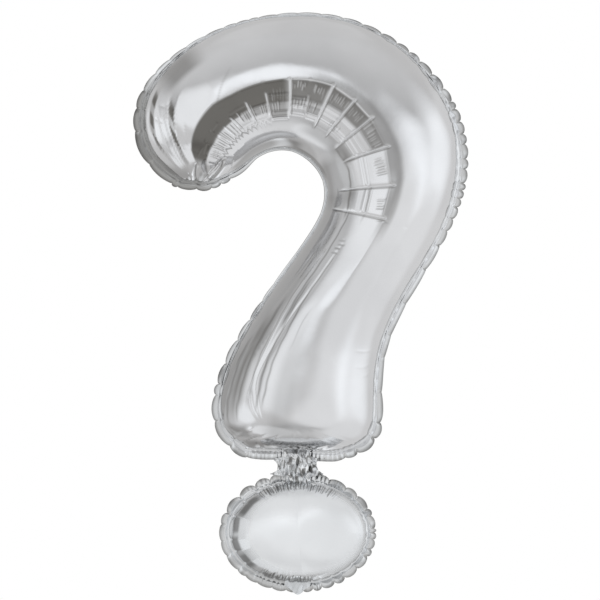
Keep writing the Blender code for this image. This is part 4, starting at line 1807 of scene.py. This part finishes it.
# name, bearing, height, inner and outer angle, brightness, later ones over earlier ones
ROOM_GLOWS = (
    Glow("ceiling behind", 180.0, 70.0, 20.0, 30.0, 0.60),
    Glow("dark floor behind", 180.0, -50.0, 30.0, 40.0, 0.45),
    Glow("white board low behind", 150.0, -40.0, 25.0, 35.0, 1.00),
    Glow("grey screen on the right", 120.0, -20.0, 45.0, 55.0, 0.65),
    Glow("wall on the left", -90.0, -5.0, 10.0, 40.0, 0.75),
    Glow("soft box on the right", 85.0, 5.0, 5.0, 40.0, 0.95),
    Glow("floor on the right", 80.0, -45.0, 20.0, 40.0, 0.75),
    Glow("soft box beside the camera", 40.0, 0.0, 5.0, 30.0, 1.00),
    Glow("stand below it", 25.0, -20.0, 15.0, 30.0, 0.75),
    Glow("soft box left of the camera", -30.0, 5.0, 5.0, 30.0, 0.85),
    Glow("lamp above the camera", -5.0, 15.0, 5.0, 15.0, 1.00),
    Glow("dark table on the left", -40.0, -25.0, 5.0, 25.0, 0.60),
    Glow("white floor on the left", -60.0, -60.0, 15.0, 25.0, 0.80),
    Glow("white strip on the left", -70.0, -15.0, 10.0, 20.0, 0.90),
)


# place from the lowest direction to the highest, and brightness, of the room's own shade
ROOM_RAMP = ((0.00, 0.70), (0.15, 0.50), (0.35, 0.75), (0.50, 0.60), (0.60, 0.45), (1.00, 0.60))


@dataclass
class Studio:
    """Pale floor, soft room light, a lamp and the camera.

    Greys of the room above the neutral value are slightly cool, and those below it slightly warm.
    """

    distance: float = 10.0
    sensor: float = 36.0
    aim_x: float = -0.0207
    aim_z: float = -0.0693
    frame_height: float = 0.885
    floor_z: float = -0.78
    floor_front: float = -0.90
    floor_back: float = 1.60
    floor_side: float = 1.60
    paper: PaperFinish = PaperFinish()
    wall_value: float = 0.55
    wall_from: float = -0.25
    wall_to: float = 0.45
    tint: float = 0.06
    neutral: float = 0.68

    def camera(self) -> None:
        """Level camera straight in front of the balloon."""
        data = bpy.data.cameras.new("camera")
        data.sensor_width = self.sensor
        data.lens = self.sensor * self.distance / self.frame_height
        eye = bpy.data.objects.new("camera", data)
        eye.location = (self.aim_x, -self.distance, self.aim_z)
        eye.rotation_euler = (math.pi / 2.0, 0.0, 0.0)
        bpy.context.scene.collection.objects.link(eye)
        bpy.context.scene.camera = eye

    def floor(self) -> bpy.types.Object:
        """Pale paper floor well below the balloon.

        Returns:
            The floor.
        """
        depth = np.linspace(self.floor_front, self.floor_back, 6)
        width = np.linspace(-self.floor_side, self.floor_side, 6)
        points = np.array([[(x, y, self.floor_z) for x in width] for y in depth])
        piece = make_sheet("studio_floor", points, flip=True)
        piece.data.materials.append(self.paper.make())
        piece.visible_glossy = False
        return piece

    def lamp(self, name: str, place: tuple[float, float, float],
             aim: tuple[float, float, float], size: tuple[float, float],
             power: float) -> None:
        """Add one soft box that the mirror-bright foil doesn't show.

        Args:
            name: name of the lamp.
            place: where it stands.
            aim: the point it faces.
            size: width and height.
            power: its power in watts.
        """
        data = bpy.data.lights.new(name, "AREA")
        data.shape = "RECTANGLE"
        data.size, data.size_y = size
        data.energy = power
        lamp = bpy.data.objects.new(name, data)
        lamp.location = place
        lamp.rotation_euler = (Vector(aim) - Vector(place)).to_track_quat("-Z", "Y").to_euler()
        lamp.visible_camera = False
        lamp.visible_glossy = False
        bpy.context.scene.collection.objects.link(lamp)

    def room(self) -> None:
        """Soft grey room: a ramp from floor to ceiling, the wall behind, and the glows over them."""
        world = bpy.data.worlds.new("studio")
        bpy.context.scene.world = world
        world.use_nodes = True
        nodes = world.node_tree.nodes
        links = world.node_tree.links
        background = nodes["Background"]
        place = nodes.new("ShaderNodeTexCoord")
        split = nodes.new("ShaderNodeSeparateXYZ")
        links.new(place.outputs["Generated"], split.inputs["Vector"])
        height = nodes.new("ShaderNodeMapRange")
        height.inputs["From Min"].default_value = -1.0
        height.inputs["From Max"].default_value = 1.0
        links.new(split.outputs["Z"], height.inputs["Value"])
        ramp = nodes.new("ShaderNodeValToRGB")
        ramp.color_ramp.interpolation = "EASE"
        elements = ramp.color_ramp.elements
        for stop, (position, value) in zip(elements, (ROOM_RAMP[0], ROOM_RAMP[-1])):
            stop.position = position
            stop.color = (value, value, value, 1.0)
        for position, value in ROOM_RAMP[1:-1]:
            elements.new(position).color = (value, value, value, 1.0)
        links.new(height.outputs["Result"], ramp.inputs["Fac"])
        behind = nodes.new("ShaderNodeMapRange")
        behind.interpolation_type = "SMOOTHSTEP"
        behind.inputs["From Min"].default_value = self.wall_from
        behind.inputs["From Max"].default_value = self.wall_to
        links.new(split.outputs["Y"], behind.inputs["Value"])
        level = self.mix(world, behind.outputs["Result"], ramp.outputs["Color"],
                         self.wall_value)
        for glow in ROOM_GLOWS:
            spot = nodes.new("ShaderNodeVectorMath")
            spot.operation = "DOT_PRODUCT"
            spot.label = glow.name
            spot.inputs[1].default_value = glow.toward()
            links.new(place.outputs["Generated"], spot.inputs[0])
            edge = nodes.new("ShaderNodeMapRange")
            edge.interpolation_type = "SMOOTHSTEP"
            edge.inputs["From Min"].default_value = math.cos(math.radians(glow.outer))
            edge.inputs["From Max"].default_value = math.cos(math.radians(glow.inner))
            links.new(spot.outputs["Value"], edge.inputs["Value"])
            level = self.mix(world, edge.outputs["Result"], level, glow.value)
        rays = nodes.new("ShaderNodeLightPath")
        white = nodes.new("ShaderNodeMix")
        white.data_type = "RGBA"
        links.new(rays.outputs["Is Camera Ray"], white.inputs[MIX_SHARE])
        links.new(level, white.inputs[MIX_COLOURS[0]])
        white.inputs[MIX_COLOURS[1]].default_value = (1.0, 1.0, 1.0, 1.0)
        links.new(white.outputs[MIX_COLOUR], background.inputs["Color"])

    def mix(self, world: bpy.types.World, share: bpy.types.NodeSocket,
            base: bpy.types.NodeSocket, value: float) -> bpy.types.NodeSocket:
        """Blend a grey, with its slight tint, over a colour.

        Args:
            world: the world whose nodes are used.
            share: how much of the value shows.
            base: the colour below.
            value: the grey.

        Returns:
            The blended colour.
        """
        node = world.node_tree.nodes.new("ShaderNodeMix")
        node.data_type = "RGBA"
        world.node_tree.links.new(share, node.inputs[MIX_SHARE])
        world.node_tree.links.new(base, node.inputs[MIX_COLOURS[0]])
        cool = self.tint * (value - self.neutral)
        node.inputs[MIX_COLOURS[1]].default_value = (value * (1.0 - cool), value,
                                                     value * (1.0 + cool), 1.0)
        return node.outputs[MIX_COLOUR]

    def build(self) -> list[bpy.types.Object]:
        """Set up the whole studio.

        Returns:
            Its floor, the only mesh of the studio.
        """
        bpy.context.scene.view_settings.view_transform = "Standard"
        self.camera()
        floor = self.floor()
        self.room()
        self.lamp("key lamp", place=(-0.5, -2.4, 0.9), aim=(0.0, 0.0, -0.4), size=(1.2, 1.2),
                  power=60.0)
        return [floor]


def main() -> None:
    """Build and report every piece in order."""
    logging.basicConfig(level=logging.INFO, format="%(name)s: %(message)s")
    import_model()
    for group in (Studio(), Hook(), Dot(), Neck(), ValveTail()):
        for piece in group.build():
            LOG.info("%s: %d faces", piece.name, len(piece.data.polygons))


if __name__ == "__main__":
    main()
